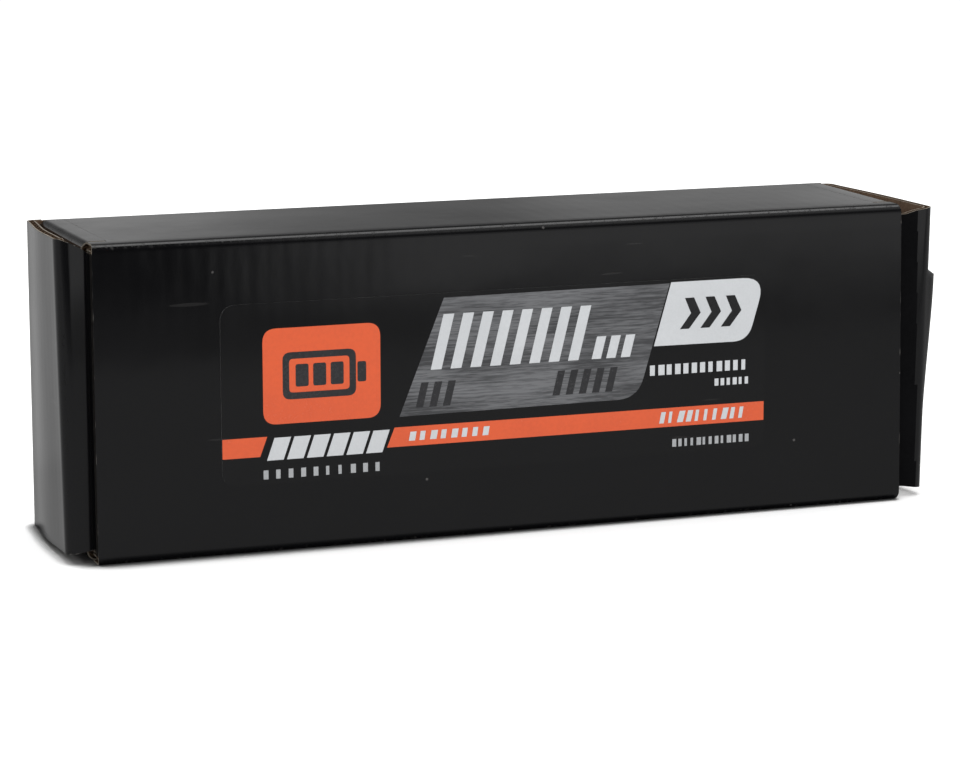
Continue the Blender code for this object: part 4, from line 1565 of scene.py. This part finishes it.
@dataclass
class PrintedLabel:
    """Ink and film on an upright face that looks towards the front.

    Attributes:
        name: The start of the pieces' names.
        face: The Y of the film's outer face.
        body: The body that the label is stuck to.
        slot: The record's material slot; not used.
        ink_depth: The thickness of a layer of ink.
    """

    name: str
    face: float
    body: str
    slot: str
    ink_depth: float = 0.022 * MM
    layer_gap: float = 0.003 * MM

    def layer(self, number: int) -> float:
        """The Y of the outer face of a layer of ink, where 1 lies on the film."""
        return self.face - number * (self.ink_depth + self.layer_gap)

    def ink(self, name: str, outlines: Sequence[Sequence[Point2]], finish: Finish,
            layer: int = 1) -> bpy.types.Mesh:
        """One printed shape, which may have holes."""
        return flat_solid(name, outlines, self.layer(layer), self.ink_depth, finish)

    def ring(self, name: str, bar: Sequence[Point2], wall: float, radius: float, finish: Finish,
             layer: int) -> bpy.types.Mesh:
        """A leaning bar's outline, drawn with a line of the given width.

        Args:
            name: The mesh's name.
            bar: The bar's corners, from its lower left.
            wall: The line's width.
            radius: The radius of the outer corners.
            finish: The ink.
            layer: The layer of ink.

        Returns:
            The mesh.
        """
        height = bar[2][1] - bar[0][1]
        lean = (bar[3][0] - bar[0][0]) / height
        low, high = bar[0][1] + wall, bar[2][1] - wall
        shift = wall * lean
        hole = [
            (bar[0][0] + wall + shift, low), (bar[1][0] - wall + shift, low),
            (bar[2][0] - wall - shift, high), (bar[3][0] + wall - shift, high),
        ]
        inner = rounded_outline(hole, max(radius - wall * 0.6, 0.2 * MM), 4)
        return self.ink(name, [rounded_outline(bar, radius, 5), inner], finish, layer)

    def row(self, row: Row) -> bpy.types.Mesh:
        """Prints a row of bars.

        Args:
            row: What to print.

        Returns:
            The mesh.
        """
        bar = slanted(*mm(*row.bar))
        left, low = bar[0]
        local = [(across - left, up - low) for across, up in bar]
        name = f"{row.name}_mark"
        mark = mesh_object(name, flat_solid(name, [local], 0.0, self.ink_depth, row.finish))
        mesh = ROW.apply(
            mark, row.name, Count=row.count, Step=(row.step * MM, 0.0, 0.0), Narrowest=row.narrowest,
            Seed=row.seed, Finish=row.finish.material(),
        )
        outer = self.layer(row.layer)
        move_points(mesh, lambda places: places + np.array([left, outer, low]))
        return mesh

    def piece(self, name: str, parts: Sequence[bpy.types.Mesh],
              replaced: Sequence[str] = ()) -> bpy.types.Object:
        """Joins meshes into one piece that rides with the label's body.

        Args:
            name: The piece's name, after the label's.
            parts: The meshes.
            replaced: The CAD nodes that the piece stands for.

        Returns:
            The piece.
        """
        piece = joined(f"{self.name}_{name}", parts)
        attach(piece, self.body)
        if replaced:
            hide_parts(*replaced)
        return piece


@dataclass
class ProductLabel(PrintedLabel):
    """The carton's label: a black film with plain shapes in orange, grey and white."""

    film_depth: float = 0.12 * MM
    low: Point2 = mm(-57.9, 12.9)
    high: Point2 = mm(51.7, 46.8)
    corner_radius: float = 3.2 * MM

    def film(self) -> bpy.types.Object:
        """The film, with its cut edge."""
        (left, bottom), (right, top) = self.low, self.high
        corners = [(left, bottom), (right, bottom), (right, top), (left, top)]
        outline = rounded_outline(corners, self.corner_radius)
        mesh = flat_solid("film", [outline], self.face, self.film_depth, FILM)
        mesh.materials.append(FILM_EDGE.material())
        for face in mesh.polygons:
            face.material_index = 1 if abs(face.normal.y) < 0.5 else 0
        flute = mesh.attributes.new("flute", "FLOAT", "POINT")
        flute.data.foreach_set("value", [point.co.x for point in mesh.vertices])
        return self.piece("film", [mesh], ["product_label"])

    def badge(self) -> bpy.types.Object:
        """An orange tile with a plain picture of a battery."""
        left, low, right, high = mm(-49.9, 24.1, -27.1, 42.0)
        tile = rounded_outline([(left, low), (right, low), (right, high), (left, high)], 2.6 * MM)
        middle = (left + right) / 2
        body = slanted(middle - 7.6 * MM, *mm(28.6, 14.2, 8.8))
        nub = slanted(middle + 6.9 * MM, *mm(31.1, 1.7, 3.8))
        bars = [slanted(middle + offset * MM, *mm(30.9, 2.5, 4.2)) for offset in (-5.1, -1.7, 1.7)]
        parts = [self.ink("tile", [tile], ORANGE), self.ring("cell", body, 1.25 * MM, 1.5 * MM, SHADE_INK, 2)]
        parts += [
            self.ink(f"cell_{number}", [rounded_outline(bar, 0.4 * MM, 3)], SHADE_INK, 2)
            for number, bar in enumerate([nub, *bars])
        ]
        return self.piece("badge", parts)

    def stripes(self) -> bpy.types.Object:
        """The orange line across the label, broken by a row of light slashes."""
        low, high = mm(18.2, 21.9)
        left = [(-57.8 * MM, low), (-50.6 * MM, low), (-49.2 * MM, high), (-57.8 * MM, high)]
        right = [(-25.9 * MM, low), (51.5 * MM, low), (51.5 * MM, high), (-24.4 * MM, high)]
        return self.piece("stripes", [
            self.ink("stripe_left", [left], ORANGE),
            self.ink("stripe_right", [right], ORANGE),
            self.row(Row("marks_left", (-21.6, 19.2, 1.35, 1.7, 0.35), 8, 2.1, WHITE_INK, 2, 0.7, 4)),
            self.row(Row("marks_right", (29.4, 18.95, 1.25, 2.2, 0.6), 10, 1.85, WHITE_INK, 2, 0.5, 9)),
        ])

    def slashes(self) -> bpy.types.Object:
        """A row of light slashes between the stripes, over a row of fine grey ticks."""
        return self.piece("slashes", [
            self.row(Row("slash", (-49.3, 17.4, 3.2, 4.2, 1.5), 6, 3.85, WHITE_INK)),
            self.row(Row("tick", (-50, 13.9, 1.0, 1.7), 10, 2.42, GREY_INK, narrowest=0.5, seed=3)),
        ])

    def gauge(self) -> bpy.types.Object:
        """The brushed grey panel with a level gauge of leaning bars."""
        corners = [mm(-23.4, 23.9), mm(24.9, 24.2), mm(31.4, 46.1), mm(-14.5, 45.9)]
        panel = rounded_outline(corners, mm(0.0, 5.5, 0.0, 0.0))
        return self.piece("gauge", [
            self.ink("gauge_panel", [panel], BRUSHED),
            self.row(Row("gauge_level", (-17.2, 32.4, 2.15, 10.4, 2.6), 8, 3.95, WHITE_INK, 2)),
            self.row(Row("gauge_step", (15.3, 32.4, 1.9, 4.3, 1.1), 3, 3.0, WHITE_INK, 2)),
            self.row(Row("cells", (-20.2, 25.4, 1.45, 4.7, 1.15), 3, 2.7, SHADE_INK, 2)),
            self.row(Row("volts", (7.3, 25.9, 1.45, 4.7, 1.15), 5, 2.7, SHADE_INK, 2)),
        ])

    def tag(self) -> bpy.types.Object:
        """The white tag in the upper right corner, with three dark chevrons."""
        corners = [mm(28.2, 34.1), mm(48.0, 34.0), mm(51.6, 46.3), mm(31.7, 46.3)]
        parts = [self.ink("tag", [rounded_outline(corners, mm(0.0, 4.2, 3.6, 0.0))], WHITE_INK)]
        low, middle, high = mm(37.1, 40.1, 43.1)
        for number in range(3):
            left = (33.6 + 4.3 * number) * MM
            chevron = [(left, low), (left + 1.9 * MM, low), (left + 4.3 * MM, middle),
                       (left + 2.9 * MM, high), (left + 1.0 * MM, high), (left + 2.3 * MM, middle)]
            parts.append(self.ink(f"chevron_{number}", [chevron], BLACK_INK, 2))
        return self.piece("tag", parts)

    def small_rows(self) -> bpy.types.Object:
        """Three rows of small bars where a label carries its fine print."""
        rows = (
            Row("print_upper", (27.4, 28.4, 1.3, 2.0), 12, 1.75, WHITE_INK, narrowest=0.55, seed=5),
            Row("print_middle", (41.0, 25.6, 0.95, 1.4), 6, 1.28, WHITE_INK, narrowest=0.6, seed=6),
            Row("print_lower", (32.2, 14.2, 0.95, 1.5), 13, 1.28, GREY_INK, narrowest=0.5, seed=7),
        )
        return self.piece("small_rows", [self.row(row) for row in rows])

    def build(self) -> list[bpy.types.Object]:
        """Builds the film and everything printed on it."""
        return [self.film(), self.badge(), self.stripes(), self.slashes(), self.gauge(), self.tag(),
                self.small_rows()]


@dataclass
class PackLabel(PrintedLabel):
    """What is printed on the pack's own label."""

    def build(self) -> list[bpy.types.Object]:
        """Builds the stripe, the gauge and the signs of the two poles."""
        low, high = corner("pack_label", 0), corner("pack_label", 1)
        edge = 2 * MM
        stripe = slanted(low[0] + edge, low[2] + 7 * MM, high[0] - low[0] - 2 * edge, 3.4 * MM)
        parts = [self.ink("pack_stripe", [stripe], ORANGE)]
        for number in range(5):
            bar = slanted(low[0] + (9 + 9.5 * number) * MM, low[2] + 15 * MM, *mm(7.6, 13, 3.4))
            parts.append(self.ring(f"pack_gauge_{number}", bar, 1.6 * MM, 1.8 * MM, WHITE_INK, 1))
        right = high[0] - 8 * MM
        for number, up in enumerate(mm(35.5, 28.5)):
            bar = slanted(right - 2.4 * MM, up, *mm(4.8, 1.2))
            parts.append(self.ink(f"pole_bar_{number}", [bar], WHITE_INK))
        parts.append(self.ink("pole_upright", [slanted(right - 0.6 * MM, *mm(33.7, 1.2, 4.8))], WHITE_INK, 2))
        fine = (low[0] / MM + 9, low[2] / MM + 3, 1.4, 1.8)
        parts.append(self.row(Row("pack_print", fine, 30, 1.9, GREY_INK, narrowest=0.5, seed=11)))
        return [self.piece("print", parts)]


# ---------------------------------------------------------------- the pack


@dataclass
class PackCase:
    """The pack's hard case, with grip ribs on its front."""

    rib_count: int = 4
    rib_step: float = 1.9 * MM
    rib_width: float = 0.9 * MM
    rib_height: float = 34 * MM
    rib_rise: float = 0.3 * MM

    def ribs(self) -> bpy.types.Object:
        """Two groups of upright ribs, one at each end of the lid."""
        low, high = corner("case_lid", 0), corner("case_lid", 1)
        middle = (low[2] + high[2]) / 2
        parts = []
        right_group = high[0] - 2.9 * MM - self.rib_step * (self.rib_count - 1)
        for number, left in enumerate((low[0] + 2.2 * MM, right_group)):
            outline = rounded_outline(slanted(0.0, 0.0, self.rib_width, self.rib_height), 0.4 * MM, 3)
            rib = flat_solid("rib", [outline], -self.rib_rise, self.rib_rise, CASE)
            mesh = ROW.apply(
                mesh_object("rib", rib), f"ribs_{number}", Count=self.rib_count,
                Step=(self.rib_step, 0.0, 0.0), Narrowest=1.0, Seed=0, Finish=CASE.material(),
            )
            shift = np.array([left, low[1], middle - self.rib_height / 2])
            move_points(mesh, lambda places, shift=shift: places + shift)
            parts.append(mesh)
        piece = joined("case_grip_ribs", parts)
        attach(piece, "battery_pack")
        return piece

    def build(self) -> list[bpy.types.Object]:
        """Dresses the case and adds its ribs."""
        for node, finish in {
            "case_tray": CASE, "case_lid": CASE, "pack_label": PACK_FILM, "lead_grommet": RUBBER,
        }.items():
            dress(node, finish)
        return [self.ribs()]


@dataclass
class CellStack:
    """The two pouch cells with what lies between and around them."""

    pad_crown: float = 0.16  # how much thinner a pad is at its rim than in its middle, on each face
    pad_flat: float = 0.55  # the share of a pad that is flat
    finishes: dict[str, Finish] = field(default_factory=lambda: {
        "front_cell": FOIL, "back_cell": FOIL, "cell_divider": POLYIMIDE,
        "front_cell_positive_tab": ALUMINIUM, "back_cell_positive_tab": ALUMINIUM,
        "front_cell_negative_tab": NICKEL, "back_cell_negative_tab": NICKEL,
        "series_bridge": COPPER, "circuit_board": LAMINATE, "controller_chip": EPOXY,
        "sense_resistor": EPOXY,
    })

    def pad(self, node: str) -> bpy.types.Object:
        """A foam pad, softly rounded at its edges and a little crowned.

        Args:
            node: The CAD node that the pad stands for.

        Returns:
            The finished piece.
        """
        low, high = corner(node, 0), corner(node, 1)
        shape = bmesh.new()
        bmesh.ops.create_grid(shape, x_segments=24, y_segments=10, size=1)
        flat = bmesh.ops.extrude_face_region(shape, geom=shape.faces[:])
        top = [item for item in flat["geom"] if isinstance(item, bmesh.types.BMVert)]
        for vert in top:
            vert.co.z = 1
        for vert in shape.verts:
            edge = max(abs(vert.co.x), abs(vert.co.y))
            half = 0.5 - self.pad_crown * eased(np.array(edge), self.pad_flat, 1.0)
            depth = half if vert.co.z > 0.5 else -half
            across = (low[0] + high[0]) / 2 + vert.co.x * (high[0] - low[0]) / 2
            up = (low[2] + high[2]) / 2 + vert.co.y * (high[2] - low[2]) / 2
            vert.co = (across, (low[1] + high[1]) / 2 + depth * (high[1] - low[1]), up)
        mesh = bpy.data.meshes.new(f"{node}_soft")
        shape.to_mesh(mesh)
        shape.free()
        close_up(mesh)
        mesh.materials.append(FOAM.material())
        piece = mesh_object(f"{node}_soft", mesh)
        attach(piece, "battery_pack")
        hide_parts(node)
        return piece

    def build(self) -> list[bpy.types.Object]:
        """Dresses the cells and makes the foam pads."""
        for node, finish in self.finishes.items():
            dress(node, finish)
        return [self.pad("front_foam_pad"), self.pad("back_foam_pad")]


class Pole(Enum):
    """The pack's two power leads."""

    POSITIVE = "positive"
    NEGATIVE = "negative"


@dataclass
class Leads:
    """The leads, which leave the case, turn once and lie back along it to their connectors.

    Attributes:
        start_x: Where the leads start, on the circuit board.
        end_x: Where the power leads end.
        balance_end_x: Where the balance wires end.
        exit_y: Where the leads leave the case.
        run_y: Where they lie along its back.
        bend: The radius of their turn.
        turn_x: The middle of the turn.
        radius: A power lead's radius.
        wire_radius: A balance wire's radius.
        heights: The height of each power lead.
        balance_height: The height of the middle balance wire.
    """

    start_x: float = field(init=False)
    end_x: float = 10.3 * MM
    balance_end_x: float = 32 * MM
    exit_y: float = 0.7 * MM
    run_y: float = 14.7 * MM
    bend: float = 7 * MM
    turn_x: float = 70.5 * MM
    radius: float = 1.7 * MM
    wire_radius: float = 0.8 * MM
    heights: dict[Pole, float] = field(
        default_factory=lambda: {Pole.POSITIVE: 36 * MM, Pole.NEGATIVE: 29 * MM}
    )
    balance_height: float = 22.4 * MM

    def __post_init__(self) -> None:
        """Reads where the leads start on the circuit board."""
        self.start_x = corner("circuit_board", 1)[0] + 0.3 * MM

    def route(self, height: float, end_x: float) -> list[Vector]:
        """Out of the grommet, once round, and back along the pack.

        Args:
            height: The lead's height.
            end_x: Where it ends.

        Returns:
            The route's points.
        """
        turn = [
            Vector((self.turn_x + self.bend * sin(angle), self.run_y - self.bend * (1 + cos(angle)), height))
            for angle in (0, pi / 4, pi / 2, 3 * pi / 4, pi)
        ]
        start = Vector((self.start_x, self.exit_y, height))
        run = [
            Vector((self.turn_x + (end_x - self.turn_x) * share, self.run_y, height))
            for share in (0.35, 0.7, 1)
        ]
        points = [start, *turn, *run]
        ends = [2 * points[0] - points[1], *points, 2 * points[-1] - points[-2]]
        route = []
        for a, b, c, d in zip(ends, ends[1:], ends[2:], ends[3:]):
            for step in range(8):
                t = step / 8
                route.append(0.5 * (2 * b + (c - a) * t + (2 * a - 5 * b + 4 * c - d) * t**2
                                    + (3 * b - a - 3 * c + d) * t**3))
        return [*route, points[-1]]

    def cable(self, name: str, route: Sequence[Vector], radius: float, finish: Finish) -> bpy.types.Mesh:
        """A round cable along a route.

        Args:
            name: The mesh's name.
            route: The route's points.
            radius: The cable's radius.
            finish: Its finish.

        Returns:
            The mesh.
        """
        mesh = CABLE.apply(polyline(name, route), name, Radius=radius, Finish=finish.material())
        close_up(mesh)
        return mesh

    def build(self) -> list[bpy.types.Object]:
        """Builds the power leads and the three balance wires, and dresses their ends."""
        pieces = []
        for pole, finish in ((Pole.POSITIVE, RED_SILICONE), (Pole.NEGATIVE, BLACK_SILICONE)):
            route = self.route(self.heights[pole], self.end_x)
            name = f"{pole.value}_power_lead"
            piece = joined(name, [self.cable(name, route, self.radius, finish)])
            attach(piece, "battery_pack")
            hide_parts(f"{pole.value}_lead")
            pieces.append(piece)
            dress(f"{pole.value}_sleeve", finish)
            dress(f"{pole.value}_contact", GOLD)
        wires = []
        for number, finish in enumerate((RED_SILICONE, WHITE_NYLON, BLACK_SILICONE)):
            height = self.balance_height + (1 - number) * 2 * self.wire_radius
            route = self.route(height, self.balance_end_x)
            wires.append(self.cable(f"balance_wire_{number}", route, self.wire_radius, finish))
        piece = joined("balance_wires", wires)
        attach(piece, "battery_pack")
        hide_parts("balance_lead")
        dress("balance_plug", WHITE_NYLON)
        dress("connector_shell", BLUE_NYLON)
        return [*pieces, piece]


# ---------------------------------------------------------------- the studio


@dataclass
class Studio:
    """A white sheet under the carton, soft white light all round, and the camera.

    Attributes:
        focal: The camera's focal length on its 36 mm wide sensor.
        camera: The camera's place.
        yaw: How far the camera looks to the right of straight ahead.
        pitch: How far it looks down.
        roll: How far it is turned about its own line of sight.
        floor_shade: The floor's colour where the carton shades it fully.
        floor_glow: How much the floor shines by itself, so that it looks as white as a lit sheet.
        floor_mirrored: The floor's light in a reflection: far ahead, near ahead and behind the carton.
        shadow_reach: How far the carton's shadow reaches on the floor, at its left and its right end.
        shadow_fade: How far past the left end the shadow narrows.
        horizon: The surroundings' light in a reflection, at eye level.
        gloom: The same between eye level and the ceiling.
        card: The same below eye level.
        ceiling: The same overhead.
        surroundings: The surroundings' light on everything.
        bands_ahead: The share of that light seen in front, by the angle from straight on, in degrees.
        bands_behind: The same behind.
    """

    focal: float = 126.604
    camera: tuple[float, float, float] = (-0.2259, -0.6056, 0.1414)
    yaw: float = radians(20.47)
    pitch: float = radians(10.19)
    roll: float = radians(-0.11)
    floor_front: float = -0.313
    floor_back: float = 1.3
    floor_half_width: float = 1.2
    floor_white: float = 0.86
    floor_shade: float = 0.13
    floor_glow: float = 0.38
    floor_mirrored: tuple[float, float, float] = (0.17, 0.37, 0.42)
    shadow_reach: Point2 = mm(6.5, 2.5)
    shadow_fade: float = 9 * MM
    horizon: float = 0.6
    gloom: float = 0.12
    card: float = 0.9
    ceiling: float = 0.85
    surroundings: float = 1.05
    bands_ahead: tuple[Point2, ...] = (
        (13, 0.93), (15.3, 0.8), (16.6, 0.56), (18.8, 0.42), (20.4, 0.40), (22, 0.60), (25.5, 0.66),
        (27, 0.85),
    )
    bands_behind: tuple[Point2, ...] = ((15.5, 0.04), (18, 1.0))
    softbox_size: Point2 = (0.9, 0.5)
    softbox_power: float = 3.0
    softbox_place: tuple[float, float, float] = (0.1, 0.15, 0.9)

    def build_camera(self) -> None:
        """Places the camera."""
        data = bpy.data.cameras.new("camera")
        data.lens = self.focal
        data.sensor_width = 36
        data.clip_start = 0.01
        data.clip_end = 20
        camera = bpy.data.objects.new("camera", data)
        level = cos(self.pitch)
        forward = Vector((sin(self.yaw) * level, cos(self.yaw) * level, -sin(self.pitch)))
        right = Vector((cos(self.yaw), -sin(self.yaw), 0))
        up = right.cross(forward)
        rolled_right = right * cos(self.roll) + up * sin(self.roll)
        rolled_up = up * cos(self.roll) - right * sin(self.roll)
        turn = Matrix((rolled_right, rolled_up, -forward)).transposed().to_4x4()
        camera.matrix_world = Matrix.Translation(self.camera) @ turn
        bpy.context.scene.collection.objects.link(camera)
        bpy.context.scene.camera = camera

    def build_floor(self) -> None:
        """Lays the white sheet that the carton stands on, with the carton's shadow painted into its colour
        and its glow.
        """
        mesh = bpy.data.meshes.new("floor")
        half, front, back = self.floor_half_width, self.floor_front, self.floor_back
        corners = [(-half, front, 0), (half, front, 0), (half, back, 0), (-half, back, 0)]
        mesh.from_pydata(corners, [], [(0, 1, 2, 3)])
        graph = Graph("white_sheet")
        place = graph.node("ShaderNodeSeparateXYZ", {"Vector": graph.place})
        along, end = place.outputs["X"], PLAN.half_length
        reach = graph.remap(along, -end, end, *self.shadow_reach)
        beside = graph.remap(along, -end - self.shadow_fade, -end, *self.shadow_reach[::-1])
        reach = graph.math("MINIMUM", reach, beside)
        # Painted shadow: the floor's colour and glow darken where ambient occlusion finds the carton near.
        nearby = graph.node("ShaderNodeAmbientOcclusion", {"Distance": reach}, samples=8)
        lit = graph.remap(nearby.outputs["AO"], 0.50, 0.92)
        graph.surface(
            Base_Color=graph.mix(lit, (self.floor_shade,) * 3, (self.floor_white,) * 3), Roughness=0.9,
            Specular_IOR_Level=0.0, Emission_Color=(1, 1, 1, 1),
            Emission_Strength=graph.math("MULTIPLY", lit, self.floor_glow),
        )
        depth = place.outputs["Y"]
        far, near, behind = self.floor_mirrored
        ahead = graph.remap(depth, -0.236, -0.222, far, near)
        level = graph.math("MAXIMUM", ahead, graph.remap(depth, -0.05, 0.1, 0.0, behind))
        mirrored = graph.node("ShaderNodeEmission", {"Strength": graph.math("MULTIPLY", level, lit)})
        output = graph.tree.nodes["Material Output"].inputs["Surface"]
        self.seen_in_gloss(graph, output, graph.shader.outputs[0], mirrored.outputs[0])
        mesh.materials.append(graph.material)
        mesh_object("floor", mesh)

    @staticmethod
    def seen_in_gloss(bench: Bench, output: bpy.types.NodeSocket, plain: bpy.types.NodeSocket,
                      mirrored: bpy.types.NodeSocket) -> None:
        """Feeds an output with one shader for plain sight and another for reflections.

        Args:
            bench: The node tree.
            output: The tree's last input.
            plain: The shader for plain sight.
            mirrored: The shader for reflections.
        """
        glossy = bench.node("ShaderNodeLightPath").outputs["Is Glossy Ray"]
        mix = bench.node("ShaderNodeMixShader", {0: glossy, 1: plain, 2: mirrored})
        bench.give(output, mix.outputs[0])

    @staticmethod
    def ramp(bench: Bench, sine: bpy.types.NodeSocket, stops: Sequence[Point2]) -> bpy.types.NodeSocket:
        """A curve of light over the sine of an angle.

        Args:
            bench: The node tree.
            sine: The sine.
            stops: Angles in degrees, each with its light.

        Returns:
            The light.
        """
        ramp = bench.node("ShaderNodeValToRGB", {"Fac": bench.math("MULTIPLY_ADD", sine, 0.5, 0.5)})
        elements = ramp.color_ramp.elements
        while len(elements) < len(stops):
            elements.new(0.5)
        for element, (angle, light) in zip(elements, stops):
            element.position = 0.5 + 0.5 * sin(radians(angle))
            element.color = (light, light, light, 1)
        return ramp.outputs["Color"]

    def build_light(self) -> None:
        """Sets white surroundings, which gloss sees as bands of light and dark, and a softbox above."""
        world = bpy.data.worlds.new("surroundings")
        world.use_nodes = True
        bpy.context.scene.world = world
        bench = Bench(world.node_tree)
        plain = bench.tree.nodes["Background"]
        plain.inputs["Color"].default_value = (1, 1, 1, 1)
        plain.inputs["Strength"].default_value = self.surroundings
        towards = bench.node("ShaderNodeTexCoord").outputs["Object"]
        split = bench.node("ShaderNodeSeparateXYZ", {0: towards}).outputs
        rise = self.ramp(bench, split["Z"], [
            (-90, self.card), (-2, self.card), (0, self.horizon), (9, self.horizon * 0.95),
            (16, self.gloom), (35, self.gloom), (50, self.ceiling), (90, self.ceiling),
        ])
        ahead = self.ramp(bench, split["X"], self.bands_ahead)
        behind = self.ramp(bench, split["X"], self.bands_behind)
        is_ahead = bench.math("GREATER_THAN", split["Y"], 0.0)
        band = bench.node("ShaderNodeMix", {"Factor": is_ahead, "A": behind, "B": ahead}).outputs["Result"]
        banded = bench.node("ShaderNodeBackground", {"Strength": bench.math("MULTIPLY", rise, band)})
        output = bench.tree.nodes["World Output"].inputs["Surface"]
        self.seen_in_gloss(bench, output, plain.outputs[0], banded.outputs[0])
        light = bpy.data.lights.new("softbox", "AREA")
        light.shape = "RECTANGLE"
        light.size, light.size_y = self.softbox_size
        light.energy = self.softbox_power
        softbox = bpy.data.objects.new("softbox", light)
        softbox.location = self.softbox_place
        bpy.context.scene.collection.objects.link(softbox)

    def build(self) -> None:
        """Builds the camera, the floor and the light, and shows white as white."""
        self.build_camera()
        self.build_floor()
        self.build_light()
        bpy.context.scene.view_settings.view_transform = "Standard"


def closures() -> list[Closure]:
    """The two closures as they stand."""
    left = Closure(
        Side.LEFT, twist=radians(0.75), bow=0.55 * MM, foot=mm(0.2, 2.1), head=mm(58.9, 60.1),
        tuck_low=mm(2.1, 2.6, 2.8, 3.2, 5.8), tuck_high=mm(60.1, 58.5, 57.2, 57.0, 54.2),
        matt_from=mm(5.6, 5.6),
    )
    right = Closure(
        Side.RIGHT, twist=radians(1.65), bow=0.35 * MM, foot=mm(0.4, 1.6), head=mm(58.6, 57.8),
        tuck_low=mm(1.6, 2.1, 2.3, 2.5, 5.3), tuck_high=mm(57.8, 57.3, 56.8, 56.5, 53.7),
        matt_from=mm(2.0, 4.0), bulge=1.6 * MM,
    )
    return [left, right]


def main() -> None:
    """Builds everything in order and reports each piece."""
    logging.basicConfig(level=logging.INFO, format="%(message)s", stream=sys.stdout)
    Studio().build()
    label = ProductLabel("label", PLAN.front - 0.13 * MM, "carton", "label_film")
    pack_label = PackLabel("pack_label", corner("pack_label", 0)[1], "battery_pack", "pack_film")
    pieces = [CartonTube().build()]
    for closure in closures():
        pieces += closure.build()
    pieces += [DustFlap(side, level).build() for side in Side for level in Level]
    for assembly in (label, PackCase(), pack_label, CellStack(), Leads()):
        pieces += assembly.build()
    for piece in pieces:
        LOG.info("%s: %d faces", piece.name, len(piece.data.polygons))


if __name__ == "__main__":
    main()
